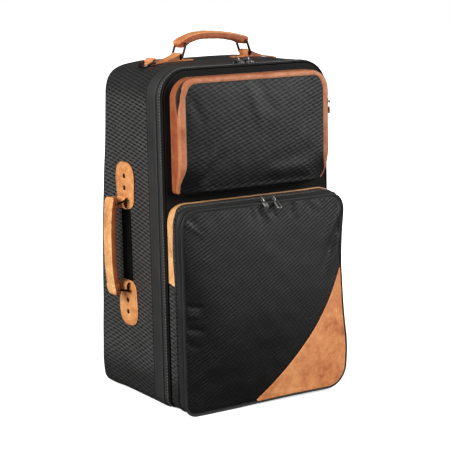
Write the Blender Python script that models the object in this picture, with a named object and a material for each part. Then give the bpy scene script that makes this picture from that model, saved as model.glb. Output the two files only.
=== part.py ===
"""Soft zipped case for two trumpets, standing upright.

The tub stands on its base, its back leans a little, and the lid covers its front.
The lid turns on a fabric hinge along the right long side. Two pockets sit on the lid.
Units are metres. X runs to the right, Y to the back, Z up, and the origin is the
centre of the base.
"""
import math

import bmesh
import bpy
import numpy as np
from mathutils import Vector

# Overall sizes of the case
CASE_WIDTH = 0.320
CASE_HEIGHT = 0.560
BASE_DEPTH = 0.228
TOP_DEPTH = 0.194
CORNER_RADIUS = 0.048
BACK_EDGE_RADIUS = 0.022

# Walls and clearances
FIT_GAP = 0.0003
SHELL_WALL = 0.0045
LINING_WALL = 0.0030
LID_FRONT_WALL = 0.0060
LID_FLOOR_GAP = 0.0030

# Zip round the case
LID_SIDE_DEPTH = 0.0195
COIL_HALF_WIDTH = 0.0022
COIL_THICKNESS = 0.0020
COIL_SINK = 0.0010
ZIP_END_GAP = 0.0020
BAND_WIDTH = 0.0270
BAND_THICKNESS = 0.0020
SEAM_PIPING_RADIUS = 0.0010
LID_PIPING_RADIUS = 0.0020
LID_PIPING_NOTCH = 0.0043

# Fabric hinge on the right long side
LEAF_THICKNESS = 0.0010
LEAF_MARGIN = 0.0010
HINGE_ROLL_RADIUS = 0.0014

# Padding inside
DIVIDER_THICKNESS = 0.0120
DIVIDER_FRONT_SETBACK = 0.0060
DIVIDER_CROWN = 0.0030
PAD_HEIGHT = 0.0300
PAD_FRONT_SETBACK = 0.0300
PAD_CROWN = 0.0060
PAD_CORNER = 0.0080
PAD_RING_SHARES = (0.3, 0.75)

# Lower pocket, measured out from the lid's face
LOWER_LEFT_MARGIN = 0.0040
LOWER_RIGHT_MARGIN = 0.0060
LOWER_BOTTOM = 0.0035
LOWER_TOP_AT_LID = 0.3435
LOWER_TOP_DROP = 0.0080
LOWER_DEPTH = 0.0520
LOWER_RADIUS = 0.0350
LOWER_SPLIT = 0.2105
LOWER_CROWN = 0.0080
LOWER_WALL = 0.0025
PANEL_RING_SHARES = (1.0, 0.93, 0.8, 0.6, 0.35, 0.0)
LOWER_GUSSET_DEPTH = 0.0225
LOWER_TAPE_DEPTH = 0.0185
LOWER_TAPE_INSET = 0.0030
LOWER_TAPE_THICKNESS = 0.0020
TRIM_THICKNESS = 0.0012
TRIM_TOP_DEPTH = 0.0080
TRIM_END_SLANT = 0.0100
LOWER_PIPING_RADIUS = 0.0016

# Leather patch on the lower pocket's bottom right corner
PATCH_SIDE_TOP = 0.2060
PATCH_BOTTOM_REACH = 0.1810
PATCH_MIDDLE_REACH = 0.0910
PATCH_MIDDLE_Z = 0.0980
PATCH_THICKNESS = 0.0014
PATCH_INSET = 0.0040
PATCH_LIFT = 0.0006
PATCH_ROW_SHARES = (0.0, 0.25, 0.5, 0.75, 1.0)

# Upper pocket, measured out from the lid's face
UPPER_LEFT_MARGIN = 0.0150
UPPER_RIGHT_MARGIN = 0.0170
UPPER_BOTTOM = 0.3580
UPPER_TOP = 0.5450
UPPER_DEPTH = 0.0300
UPPER_RADIUS = 0.0330
UPPER_SPLIT = 0.4820
UPPER_CROWN = 0.0060
UPPER_WALL = 0.0025
UPPER_GUSSET_DEPTH = 0.0150
UPPER_ZIP_WIDTH = 0.0052
UPPER_ZIP_INSET = 0.0020
UPPER_ZIP_THICKNESS = 0.0015
UPPER_BAND_FRONT = 0.0085
UPPER_BAND_THICKNESS = 0.0020
UPPER_BAND_ROUND = 0.0035

# Carrying handle on the top
TOP_HANDLE_Y = -0.0060
TOP_ROLL_X = 0.0675
TOP_BAR_X = 0.0595
TOP_BAR_HEIGHT = 0.0290
TOP_GRIP_REACH = 0.0070
TOP_GRIP_RISE = 0.0170
TOP_ANCHOR_INNER_X = 0.0390
TOP_ANCHOR_SIDE_MARGIN = 0.0330
TOP_ANCHOR_WIDTH = 0.0260

# Carrying handle on the left side
SIDE_HANDLE_Y = 0.0170
SIDE_HANDLE_Z = 0.2605
SIDE_ROLL_Z = 0.0775
SIDE_BAR_Z = 0.0725
SIDE_BAR_OUT = 0.0265
SIDE_GRIP_REACH = 0.0100
SIDE_GRIP_RISE = 0.0050
SIDE_PLATE_INNER_Z = 0.0610
SIDE_PLATE_OUTER_Z = 0.1395
SIDE_PLATE_WIDTH = 0.0580
SIDE_PLATE_NECK_WIDTH = 0.0400
SIDE_TIP_SHARE = 0.5
SIDE_END_SHARE = 0.3
WEBBING_WIDTH = 0.0300
WEBBING_THICKNESS = 0.0012
SCREW_RADIUS = 0.0026
SCREW_HEIGHT = 0.0010
SCREW_INNER_Z = 0.0960
SCREW_OUTER_Z = 0.1160
SCREW_PROFILE_SHARES = ((1.0, 0.0), (1.0, 0.4), (0.8, 0.8), (0.45, 1.0))

# Parts that both handles share
STRAP_THICKNESS = 0.0022
STRAP_END_SHARE = 0.35
ROLL_HEIGHT = 0.0065
ROLL_RADIUS = 0.0047
ROLL_LENGTH = 0.0270
ROLL_FOOT_TURN = math.radians(45)
ROLL_SLIT_TOP_TURN = math.radians(215)
ROLL_SLIT_BOTTOM_TURN = math.radians(228)
WIRE_RADIUS = 0.00125
WIRE_CLEARANCE = 0.0004
RING_WIDTH = 0.0345
RING_CORNER = 0.0034
GRIP_WIDTH = 0.0270
GRIP_THICKNESS = 0.0115
GRIP_BAR_DROP = 0.0012
GRIP_EYE_CLEARANCE = 0.0009
GRIP_END_SHARE = 0.72
GRIP_SQUARE_SHARE = 0.7

# Ring for a shoulder strap
STRAP_RING_SIDE_MARGIN = 0.0420
STRAP_RING_DEPTH = 0.0200
STRAP_RING_DROOP = math.radians(26)
RING_FAR_SHARE = 0.8
RING_FAR_ROUND_SHARE = 0.5

# Zip sliders and their pulls
SLIDER_LENGTH = 0.0115
SLIDER_WIDTH = 0.0085
SLIDER_PLATE = 0.0016
SLIDER_PLATE_TAPER_SHARE = 0.7
SLIDER_CORNER_SHARE = 0.3
SLIDER_PROFILE_SHARES = ((0.0, 1.0), (0.5, 1.0), (1.0, 0.85))
BRIDGE_SPAN = 0.0080
BRIDGE_HEIGHT = 0.0085
BRIDGE_RADIUS = 0.0009
PULL_WIRE_RADIUS = 0.0008
PULL_LOOP_HALF_WIDTH = 0.0024
PULL_LOOP_LENGTH = 0.0090
PULL_TAB_WIDTH = 0.0052
PULL_TAB_END_WIDTH = 0.0060
PULL_TAB_THICKNESS = 0.0014
PULL_CORNER_SHARE = 0.7
PULL_TAB_SHARES = ((0.0, 0.8, 1.2), (0.12, 1.0, 1.2), (0.85, 1.0, 1.0), (1.0, 0.75, 0.8))
PULL_TAB_SECTION_SHARES = ((-1, -0.5), (-0.8, -1), (0.8, -1), (1, -0.5),
                           (1, 0.5), (0.8, 1), (-0.8, 1), (-1, 0.5))
MAIN_SLIDER_LEFT_X = -0.0070
MAIN_SLIDER_RIGHT_X = 0.0120
MAIN_PULL_LENGTH = 0.0230
MAIN_PULL_DROOP = math.radians(15)
LOWER_SLIDER_LEFT_X = -0.0020
LOWER_SLIDER_RIGHT_X = 0.0200
LOWER_PULL_LENGTH = 0.0200
LOWER_PULL_DROOP = math.radians(34)
UPPER_SLIDER_Z = 0.4900
UPPER_PULL_LENGTH = 0.0200

# Mesh resolution
MERGE_DISTANCE = 0.000001
SHARP_ANGLE = math.radians(35)
ARC_STEPS = 6
SMALL_ARC_STEPS = 3
ARCH_SIDE_STEPS = 3
ARCH_FAR_STEPS = 8
PATCH_STEPS = 6
STRAP_STATIONS = 15
BACK_EDGE_TURNS = 5
CORNER_SIDES = 6
WIRE_SIDES = 6
ROUND_SIDES = 12
GRIP_SIDES = 10
GRIP_STATIONS = 13

# Places that follow from the sizes above
HALF_WIDTH = CASE_WIDTH / 2
LOWER_LEFT = -HALF_WIDTH + LOWER_LEFT_MARGIN
LOWER_RIGHT = HALF_WIDTH - LOWER_RIGHT_MARGIN
UPPER_LEFT = -HALF_WIDTH + UPPER_LEFT_MARGIN
UPPER_RIGHT = HALF_WIDTH - UPPER_RIGHT_MARGIN
PATCH_BOTTOM_LEFT = LOWER_RIGHT - PATCH_BOTTOM_REACH
PATCH_MIDDLE_X = LOWER_RIGHT - PATCH_MIDDLE_REACH
TOP_ANCHOR_OUTER_X = HALF_WIDTH - TOP_ANCHOR_SIDE_MARGIN
STRAP_RING_X = -HALF_WIDTH + STRAP_RING_SIDE_MARGIN
FRONT_Y = -BASE_DEPTH / 2
BACK_SLOPE = (BASE_DEPTH - TOP_DEPTH) / CASE_HEIGHT
ZIP_Y = FRONT_Y + LID_SIDE_DEPTH
TUB_RIM_Y = ZIP_Y + COIL_HALF_WIDTH + FIT_GAP
LID_RIM_Y = ZIP_Y - COIL_HALF_WIDTH - FIT_GAP
BAND_BACK_Y = TUB_RIM_Y + BAND_WIDTH
HINGE_X = HALF_WIDTH + FIT_GAP + HINGE_ROLL_RADIUS
LINING_INSET = SHELL_WALL + FIT_GAP
CAVITY_INSET = LINING_INSET + LINING_WALL + FIT_GAP
PULL_LOOP_BACK = BRIDGE_RADIUS + PULL_WIRE_RADIUS + FIT_GAP
LOWER_FRONT_DEPTH = LOWER_DEPTH - LOWER_PIPING_RADIUS
LOWER_RIM_INSET = 2 * LOWER_PIPING_RADIUS
LOWER_REAR_TAPE_FRONT = LOWER_GUSSET_DEPTH + FIT_GAP + LOWER_TAPE_DEPTH
UPPER_ZIP_BACK = UPPER_GUSSET_DEPTH + FIT_GAP
UPPER_ZIP_FRONT = UPPER_ZIP_BACK + UPPER_ZIP_WIDTH
UPPER_PANEL_INSET = UPPER_BAND_FRONT + FIT_GAP
UPPER_FRONT_DEPTH = UPPER_DEPTH - FIT_GAP

TUB_BOX = (-HALF_WIDTH, HALF_WIDTH, 0.0, CASE_HEIGHT, CORNER_RADIUS)
LID_BOX = (-HALF_WIDTH, HALF_WIDTH, LID_FLOOR_GAP, CASE_HEIGHT, CORNER_RADIUS)
UPPER_BOX = (UPPER_LEFT, UPPER_RIGHT, UPPER_BOTTOM, UPPER_TOP, UPPER_RADIUS)


def back_y(z):
    """Y of the leaning back face at height z."""
    return BASE_DEPTH / 2 - BACK_SLOPE * z


def lower_box(depth):
    """The lower pocket's outline box at a depth out from the lid; its top falls forward."""
    top = LOWER_TOP_AT_LID - LOWER_TOP_DROP * depth / LOWER_DEPTH
    return (LOWER_LEFT, LOWER_RIGHT, LOWER_BOTTOM, top, LOWER_RADIUS)


def out_from_lid(depth):
    """Y at a depth out from the lid's face."""
    return FRONT_Y - depth


# Materials

def make_material(name, colour, roughness, metallic=0.0):
    material = bpy.data.materials.new(name)
    material.use_nodes = True
    shader = material.node_tree.nodes["Principled BSDF"]
    shader.inputs["Base Color"].default_value = (*colour, 1.0)
    shader.inputs["Roughness"].default_value = roughness
    shader.inputs["Metallic"].default_value = metallic
    return material


WOVEN = make_material("woven_fabric", (0.032, 0.032, 0.034), 0.85)
TAPE = make_material("smooth_tape", (0.018, 0.018, 0.019), 0.75)
PIPING = make_material("piping", (0.024, 0.024, 0.026), 0.6)
COIL = make_material("zip_coil", (0.010, 0.010, 0.011), 0.5)
LINING = make_material("lining_plush", (0.020, 0.019, 0.021), 0.95)
PADDING = make_material("padding_plush", (0.028, 0.026, 0.028), 0.95)
LEATHER = make_material("tan_leather", (0.62, 0.27, 0.09), 0.5)
WEBBING = make_material("webbing", (0.012, 0.012, 0.013), 0.8)
BRONZE = make_material("dark_bronze", (0.070, 0.045, 0.030), 0.35, 1.0)
BLACK_METAL = make_material("black_metal", (0.020, 0.020, 0.021), 0.4, 0.6)
NICKEL = make_material("nickel", (0.56, 0.56, 0.55), 0.3, 1.0)


# Joint axes, each an empty that its pieces are parented to

def make_axis(name, place, parent=None):
    empty = bpy.data.objects.new(name, None)
    bpy.context.scene.collection.objects.link(empty)
    empty["world_place"] = place
    if parent is None:
        empty.location = place
    else:
        empty.parent = parent
        empty.location = Vector(place) - Vector(parent["world_place"])
    return empty


# Outlines and paths in the plane of the case's front

def rounded_path(corners, radii, straight_steps, closed, arc_steps=ARC_STEPS):
    """Points along straight lines through the corners, each corner rounded by an arc.

    A radius of zero keeps the corner as a point. straight_steps gives the number of
    parts that each straight stretch is cut into.
    """
    corners = [np.asarray(corner, dtype=float) for corner in corners]
    count = len(corners)
    pieces = []
    for index, corner in enumerate(corners):
        radius = radii[index]
        if radius == 0:
            pieces.append(corner[None, :])
            continue
        before = corners[index - 1] - corner
        after = corners[(index + 1) % count] - corner
        before = before / np.linalg.norm(before)
        after = after / np.linalg.norm(after)
        half = math.acos(np.clip(before @ after, -1, 1)) / 2
        middle = (before + after) / np.linalg.norm(before + after)
        centre = corner + middle * radius / math.sin(half)
        start = corner + before * radius / math.tan(half) - centre
        end = corner + after * radius / math.tan(half) - centre
        turn = math.atan2(start[0] * end[1] - start[1] * end[0], start @ end)
        angles = math.atan2(start[1], start[0]) + np.linspace(0, turn, arc_steps + 1)
        arc = np.stack([np.cos(angles), np.sin(angles)], axis=1) * radius
        pieces.append(centre + arc)
    points = []
    for index, piece in enumerate(pieces):
        points.append(piece)
        if index == count - 1 and not closed:
            break
        following = pieces[(index + 1) % count][0]
        steps = straight_steps[index]
        shares = np.linspace(0, 1, steps + 1)[1:-1, None]
        points.append(piece[-1] + (following - piece[-1]) * shares)
    return np.concatenate(points)


def box_outline(box, inset=0.0):
    """Closed outline of a rounded box in X and Z, drawn in by an inset."""
    left, right, bottom, top, radius = box
    corners = [(right - inset, bottom + inset), (right - inset, top - inset),
               (left + inset, top - inset), (left + inset, bottom + inset)]
    return rounded_path(corners, [radius - inset] * 4, (1, 1, 1, 1), True)


def arch_outline(box, split, inset=0.0, upward=True, side_steps=ARCH_SIDE_STEPS,
                 far_steps=ARCH_FAR_STEPS):
    """Open outline from the split line on the left, round two corners, to the right."""
    left, right, bottom, top, radius = box
    far = top - inset if upward else bottom + inset
    corners = [(left + inset, split), (left + inset, far),
               (right - inset, far), (right - inset, split)]
    steps = (side_steps, far_steps, side_steps)
    return rounded_path(corners, (0, radius - inset, radius - inset, 0), steps, False)


def zip_outline(box, inset):
    """Open outline of the case zip: it ends on the right side, at the fabric hinge."""
    left, right, bottom, top, radius = box
    corners = [(right - inset, bottom + radius + ZIP_END_GAP), (right - inset, bottom + inset),
               (left + inset, bottom + inset), (left + inset, top - inset),
               (right - inset, top - inset), (right - inset, top - radius - ZIP_END_GAP)]
    radii = (0, radius - inset, radius - inset, radius - inset, radius - inset, 0)
    return rounded_path(corners, radii, (1, 1, 1, 1, 1), False)


def at_depth(outline, y):
    """Outline points in X and Z as points in space at Y, a number or one per point."""
    depths = np.broadcast_to(np.asarray(y, dtype=float), (len(outline),))
    return np.stack([outline[:, 0], depths, outline[:, 1]], axis=1)


# Solids

def make_solid(name, points, faces, material, axis=None, smooth=True):
    """One closed object whose origin lies on its axis, or at the world's origin."""
    mesh = bpy.data.meshes.new(name)
    place = Vector(axis["world_place"]) if axis else Vector((0, 0, 0))
    shifted = np.asarray(points, dtype=float) - np.array(place)
    mesh.from_pydata([tuple(point) for point in shifted], [], faces)
    work = bmesh.new()
    work.from_mesh(mesh)
    bmesh.ops.remove_doubles(work, verts=work.verts, dist=MERGE_DISTANCE)
    bmesh.ops.recalc_face_normals(work, faces=work.faces)
    work.to_mesh(mesh)
    work.free()
    if smooth:
        mesh.shade_smooth()
        mesh.set_sharp_from_angle(angle=SHARP_ANGLE)
    mesh.materials.append(material)
    solid = bpy.data.objects.new(name, mesh)
    bpy.context.scene.collection.objects.link(solid)
    if axis:
        solid.parent = axis
    return solid


def skin(name, sections, material, axis=None, closed=False):
    """Solid through a row of sections: a closed ring, or capped at its two ends."""
    sections = np.asarray(sections, dtype=float)
    count, size = sections.shape[:2]
    faces = []
    for row in range(count if closed else count - 1):
        following = (row + 1) % count
        for column in range(size):
            beside = (column + 1) % size
            faces.append((row * size + column, row * size + beside,
                          following * size + beside, following * size + column))
    if not closed:
        faces.append(tuple(range(size)))
        faces.append(tuple((count - 1) * size + column for column in range(size)))
    return make_solid(name, sections.reshape(-1, 3), faces, material, axis)


def slab(name, outer, inner, material, axis=None):
    """Solid between two grids of points of the same shape, closed round its edge."""
    outer = np.asarray(outer, dtype=float)
    inner = np.asarray(inner, dtype=float)
    rows, columns = outer.shape[:2]
    shift = rows * columns
    faces = []
    for row in range(rows - 1):
        for column in range(columns - 1):
            quad = (row * columns + column, row * columns + column + 1,
                    (row + 1) * columns + column + 1, (row + 1) * columns + column)
            faces.append(quad)
            faces.append(tuple(shift + corner for corner in reversed(quad)))
    edge = [column for column in range(columns)]
    edge += [row * columns + columns - 1 for row in range(1, rows)]
    edge += [(rows - 1) * columns + column for column in range(columns - 2, -1, -1)]
    edge += [row * columns for row in range(rows - 2, 0, -1)]
    for here, following in zip(edge, edge[1:] + edge[:1]):
        faces.append((following, here, shift + here, shift + following))
    points = np.concatenate([outer.reshape(-1, 3), inner.reshape(-1, 3)])
    return make_solid(name, points, faces, material, axis)


def path_sides(path, normal, closed):
    """Unit vectors across a path, in the plane that the normal gives."""
    if closed:
        along = np.roll(path, -1, axis=0) - np.roll(path, 1, axis=0)
    else:
        along = np.gradient(path, axis=0)
    across = np.cross(along, normal)
    return across / np.linalg.norm(across, axis=1)[:, None]


def tube(name, path, normal, radius, sides, material, axis=None, closed=True):
    """Round tube along a path in a plane."""
    across = path_sides(path, normal, closed)
    angles = np.arange(sides) * 2 * math.pi / sides
    sections = (path[:, None, :]
                + across[:, None, :] * np.cos(angles)[None, :, None] * radius
                + np.asarray(normal)[None, None, :] * np.sin(angles)[None, :, None] * radius)
    return skin(name, sections, material, axis, closed)


def hoop(name, outer, inner, front, back, material, axis=None, closed=True):
    """Flat band between two outlines, from one depth to another."""
    sections = np.stack([at_depth(outer, front), at_depth(outer, back),
                         at_depth(inner, back), at_depth(inner, front)], axis=1)
    return skin(name, sections, material, axis, closed)


def piping(name, box, inset, y, radius, material, axis=None):
    """Closed cord round a box outline."""
    path = at_depth(box_outline(box, inset), y)
    return tube(name, path, (0, 1, 0), radius, CORNER_SIDES, material, axis)


def cut_or_join(solid, tool, operation):
    """Boolean of a solid with a tool that is itself left out of the model."""
    modifier = solid.modifiers.new(tool.name, "BOOLEAN")
    modifier.operation = operation
    modifier.object = tool
    modifier.solver = "EXACT"
    tool.hide_render = True
    tool.display_type = "WIRE"


def rod(name, centre, direction, length, radius, material, axis=None):
    """Round rod of many sides about a centre point."""
    direction = Vector(direction).normalized()
    side = direction.orthogonal().normalized()
    other = direction.cross(side)
    angles = np.arange(ROUND_SIDES) * 2 * math.pi / ROUND_SIDES
    ring = (np.cos(angles)[:, None] * np.array(side) + np.sin(angles)[:, None] * np.array(other))
    ends = [np.array(centre) + np.array(direction) * share * length for share in (-0.5, 0.5)]
    sections = [end + ring * radius for end in ends]
    return skin(name, sections, material, axis)


# Tub

def tub_rings(inset, wall, rim_y, back_inset):
    """Rings of a tray from the middle of its back, round its edge, to its rim and in."""
    rings = []
    turns = np.linspace(0, math.pi / 2, BACK_EDGE_TURNS)
    edge = BACK_EDGE_RADIUS - inset
    for turn in turns:
        outline = box_outline(TUB_BOX, inset + edge * (1 - math.sin(turn)))
        y = back_y(outline[:, 1]) - back_inset - edge * (1 - math.cos(turn))
        rings.append(at_depth(outline, y))
    rings.append(at_depth(box_outline(TUB_BOX, inset), rim_y))
    rings.append(at_depth(box_outline(TUB_BOX, inset + wall), rim_y))
    inner_edge = edge - wall
    for turn in turns[::-1]:
        outline = box_outline(TUB_BOX, inset + wall + inner_edge * (1 - math.sin(turn)))
        y = back_y(outline[:, 1]) - back_inset - wall - inner_edge * (1 - math.cos(turn))
        rings.append(at_depth(outline, y))
    return rings


def build_tub():
    neck_inset = BAND_THICKNESS + FIT_GAP
    groove_back = BAND_BACK_Y + 2 * (SEAM_PIPING_RADIUS + FIT_GAP)
    rings = tub_rings(0, SHELL_WALL, TUB_RIM_Y, 0)
    outer_rim = BACK_EDGE_TURNS
    step = [at_depth(box_outline(TUB_BOX), groove_back),
            at_depth(box_outline(TUB_BOX, neck_inset), groove_back),
            at_depth(box_outline(TUB_BOX, neck_inset), TUB_RIM_Y)]
    skin("tub_shell", rings[:outer_rim] + step + rings[outer_rim + 1:], WOVEN)
    skin("tub_lining", tub_rings(LINING_INSET, LINING_WALL, TUB_RIM_Y, LINING_INSET), LINING)
    hoop("tub_zip_band", box_outline(TUB_BOX), box_outline(TUB_BOX, BAND_THICKNESS),
         TUB_RIM_Y, BAND_BACK_Y, TAPE)
    piping("tub_seam_piping", TUB_BOX, SEAM_PIPING_RADIUS, BAND_BACK_Y + SEAM_PIPING_RADIUS
           + FIT_GAP, SEAM_PIPING_RADIUS, PIPING)
    hoop("tub_zip_coil", zip_outline(LID_BOX, COIL_SINK),
         zip_outline(LID_BOX, COIL_SINK + COIL_THICKNESS),
         ZIP_Y + FIT_GAP / 2, ZIP_Y + COIL_HALF_WIDTH, COIL, closed=False)


def hinge_leaf(name, near_y, far_y, roll, axis=None):
    """Thin leaf on the case's right side; the tub's leaf ends in the hinge's rolled fold."""
    inner = HALF_WIDTH + FIT_GAP
    outer = inner + LEAF_THICKNESS
    profile = [(inner, far_y), (outer, far_y)]
    if roll:
        meeting = math.acos((outer - HINGE_X) / HINGE_ROLL_RADIUS)
        turns = np.linspace(meeting, -math.pi, ROUND_SIDES)
        profile += [(HINGE_X + HINGE_ROLL_RADIUS * math.cos(turn),
                     ZIP_Y + HINGE_ROLL_RADIUS * math.sin(turn)) for turn in turns]
    else:
        profile += [(outer, near_y), (inner, near_y)]
    ends = (CORNER_RADIUS, CASE_HEIGHT - CORNER_RADIUS)
    sections = [[(x, y, z) for x, y in profile] for z in ends]
    return skin(name, sections, TAPE, axis)


def pad_outline(block, radius):
    """Rounded outline of a pad in X and Z."""
    left, right, bottom, top = block
    corners = [(right, bottom), (right, top), (left, top), (left, bottom)]
    return rounded_path(corners, [radius] * 4, (1, 2, 1, 2), True, SMALL_ARC_STEPS)


def build_pad(name, block, radius, front_y, crown):
    """Padding block in the tub, crowned in front, its back leaning with the case.

    Where it meets the tub's walls, its back edge is drawn in to clear their fillet.
    """
    outline = pad_outline(block, radius)
    middle = np.array([block[0] + block[1], block[2] + block[3]]) / 2
    rings = []
    for share in PAD_RING_SHARES:
        ring = middle + (outline - middle) * share
        rings.append(at_depth(ring, front_y - crown * (1 - share ** 2)))
    rings.append(at_depth(outline, front_y + crown))
    edge = BACK_EDGE_RADIUS - CAVITY_INSET + FIT_GAP
    rings.append(at_depth(outline, back_y(outline[:, 1]) - CAVITY_INSET - edge))
    reach = CAVITY_INSET + edge
    clear = (max(block[0], reach - HALF_WIDTH), min(block[1], HALF_WIDTH - reach),
             max(block[2], reach), min(block[3], CASE_HEIGHT - reach))
    drawn = pad_outline(clear, radius / 2)
    rings.append(at_depth(drawn, back_y(drawn[:, 1]) - CAVITY_INSET))
    return skin(name, rings, PADDING)


def build_padding():
    """A divider between the two instruments, and a pad at each end of each bay."""
    low = CAVITY_INSET
    high = CASE_HEIGHT - CAVITY_INSET
    half = DIVIDER_THICKNESS / 2
    build_pad("centre_divider", (-half, half, low, high), DIVIDER_THICKNESS / 3,
              TUB_RIM_Y + DIVIDER_FRONT_SETBACK, DIVIDER_CROWN)
    inner = half + FIT_GAP
    outer = HALF_WIDTH - CORNER_RADIUS
    front = TUB_RIM_Y + PAD_FRONT_SETBACK
    for side, near, far in (("right", inner, outer), ("left", -outer, -inner)):
        for level, bottom in (("lower", low), ("upper", high - PAD_HEIGHT)):
            block = (near, far, bottom, bottom + PAD_HEIGHT)
            build_pad(f"{level}_pad_{side}", block, PAD_CORNER, front, PAD_CROWN)


# Lid

def build_lid(axis):
    notch = LID_PIPING_NOTCH
    rings = [at_depth(box_outline(LID_BOX, notch), FRONT_Y),
             at_depth(box_outline(LID_BOX, notch), FRONT_Y + notch),
             at_depth(box_outline(LID_BOX), FRONT_Y + notch),
             at_depth(box_outline(LID_BOX), LID_RIM_Y),
             at_depth(box_outline(LID_BOX, SHELL_WALL), LID_RIM_Y),
             at_depth(box_outline(LID_BOX, SHELL_WALL), FRONT_Y + LID_FRONT_WALL)]
    skin("lid_shell", rings, WOVEN, axis)
    lining_front = FRONT_Y + LID_FRONT_WALL + FIT_GAP
    rings = [at_depth(box_outline(LID_BOX, LINING_INSET), lining_front),
             at_depth(box_outline(LID_BOX, LINING_INSET), LID_RIM_Y),
             at_depth(box_outline(LID_BOX, LINING_INSET + LINING_WALL), LID_RIM_Y),
             at_depth(box_outline(LID_BOX, LINING_INSET + LINING_WALL),
                      lining_front + LINING_WALL)]
    skin("lid_lining", rings, LINING, axis)
    piping("lid_piping", LID_BOX, LID_PIPING_RADIUS, FRONT_Y + LID_PIPING_RADIUS,
           LID_PIPING_RADIUS, PIPING, axis)
    hoop("lid_zip_coil", zip_outline(LID_BOX, COIL_SINK),
         zip_outline(LID_BOX, COIL_SINK + COIL_THICKNESS),
         ZIP_Y - COIL_HALF_WIDTH, ZIP_Y - FIT_GAP / 2, COIL, axis, closed=False)
    near = ZIP_Y - HINGE_ROLL_RADIUS - LEAF_THICKNESS
    far = FRONT_Y + LID_PIPING_NOTCH + LEAF_MARGIN
    hinge_leaf("lid_hinge_leaf", near, far, False, axis)


# Pockets

def crown_at(box, inset, crown, x, z):
    """How far a stuffed panel stands out, falling to zero at its edges."""
    left, right, bottom, top, _ = box
    across = (2 * x - left - right) / (right - left - 2 * inset)
    upward = (2 * z - bottom - top) / (top - bottom - 2 * inset)
    flat = (1 - np.clip(np.abs(across), 0, 1) ** 3) * (1 - np.clip(np.abs(upward), 0, 1) ** 3)
    return crown * flat


def pocket_panel(name, boxes, split, inset, wall, depths, crown, upward, material, axis):
    """Half of a pocket's front: a rim that runs back, and a crowned face to the split.

    boxes are the outline at the rim's back and at the face, and depths their places.
    """
    back_depth, face_depth = depths
    face_box = boxes[1]
    middle = np.array([(face_box[0] + face_box[1]) / 2, split])
    grids = []
    for extra in (0.0, wall):
        back_arch = arch_outline(boxes[0], split, inset + extra, upward)
        arch = arch_outline(face_box, split, inset + extra, upward)
        rows = []
        if face_depth > back_depth + wall:
            rows.append(at_depth(back_arch, out_from_lid(back_depth)))
        for share in PANEL_RING_SHARES:
            ring = middle + (arch - middle) * share
            swell = crown_at(face_box, inset, crown, ring[:, 0], ring[:, 1])
            rows.append(at_depth(ring, out_from_lid(face_depth - extra) - swell))
        grids.append(rows)
    return slab(name, grids[0], grids[1], material, axis)


def build_lower_pocket(lid_axis, flap_axis):
    start = out_from_lid(FIT_GAP)
    gusset_front = out_from_lid(LOWER_GUSSET_DEPTH)
    under_trim = TRIM_THICKNESS + FIT_GAP
    box = lower_box(LOWER_GUSSET_DEPTH)
    hoop("lower_pocket_gusset", box_outline(box, under_trim),
         box_outline(box, under_trim + LOWER_WALL), start, gusset_front, WOVEN, lid_axis)
    build_lower_trim(box, start, lid_axis)
    tape_back = out_from_lid(LOWER_GUSSET_DEPTH + FIT_GAP)
    tape_front = out_from_lid(LOWER_REAR_TAPE_FRONT)
    box = lower_box(LOWER_REAR_TAPE_FRONT)
    hoop("lower_pocket_rear_tape", box_outline(box, LOWER_TAPE_INSET),
         box_outline(box, LOWER_TAPE_INSET + LOWER_TAPE_THICKNESS), tape_back, tape_front,
         TAPE, lid_axis)
    depths = (LOWER_REAR_TAPE_FRONT + FIT_GAP, LOWER_FRONT_DEPTH)
    boxes = (lower_box(depths[0]), lower_box(LOWER_DEPTH))
    piping_y = out_from_lid(LOWER_DEPTH - LOWER_PIPING_RADIUS)
    sides = (("pocket", False, -FIT_GAP / 2, lid_axis), ("flap", True, FIT_GAP / 2, flap_axis))
    for word, upward, gap, axis in sides:
        split = LOWER_SPLIT + gap
        pocket_panel(f"lower_{word}_panel", boxes, split, LOWER_RIM_INSET, LOWER_WALL,
                     depths, LOWER_CROWN, upward, WOVEN, axis)
        path = at_depth(arch_outline(boxes[1], split, LOWER_PIPING_RADIUS - FIT_GAP, upward,
                                     1, 1), piping_y)
        tube(f"lower_{word}_piping", path, (0, 1, 0), LOWER_PIPING_RADIUS, CORNER_SIDES,
             PIPING, axis, closed=False)
    build_patch(boxes[1], lid_axis)


def build_lower_trim(box, start, axis):
    """Leather strip round the pocket's back edge: wide at the sides, narrow on top."""
    outer = arch_outline(box, LOWER_SPLIT)
    inner = arch_outline(box, LOWER_SPLIT, TRIM_THICKNESS)
    left, right, bottom, top, radius = box
    rise = np.clip((outer[:, 1] - (top - radius)) / radius, 0, 1)
    width = LOWER_GUSSET_DEPTH + (TRIM_TOP_DEPTH - LOWER_GUSSET_DEPTH) * rise
    slant = np.where(outer[:, 1] <= LOWER_SPLIT, TRIM_END_SLANT, 0.0)
    front_outer = at_depth(outer, out_from_lid(width))
    front_inner = at_depth(inner, out_from_lid(width))
    front_outer[:, 2] += slant
    front_inner[:, 2] += slant
    sections = np.stack([at_depth(outer, start), front_outer, front_inner,
                         at_depth(inner, start)], axis=1)
    skin("lower_pocket_trim", sections, LEATHER, axis)


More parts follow.
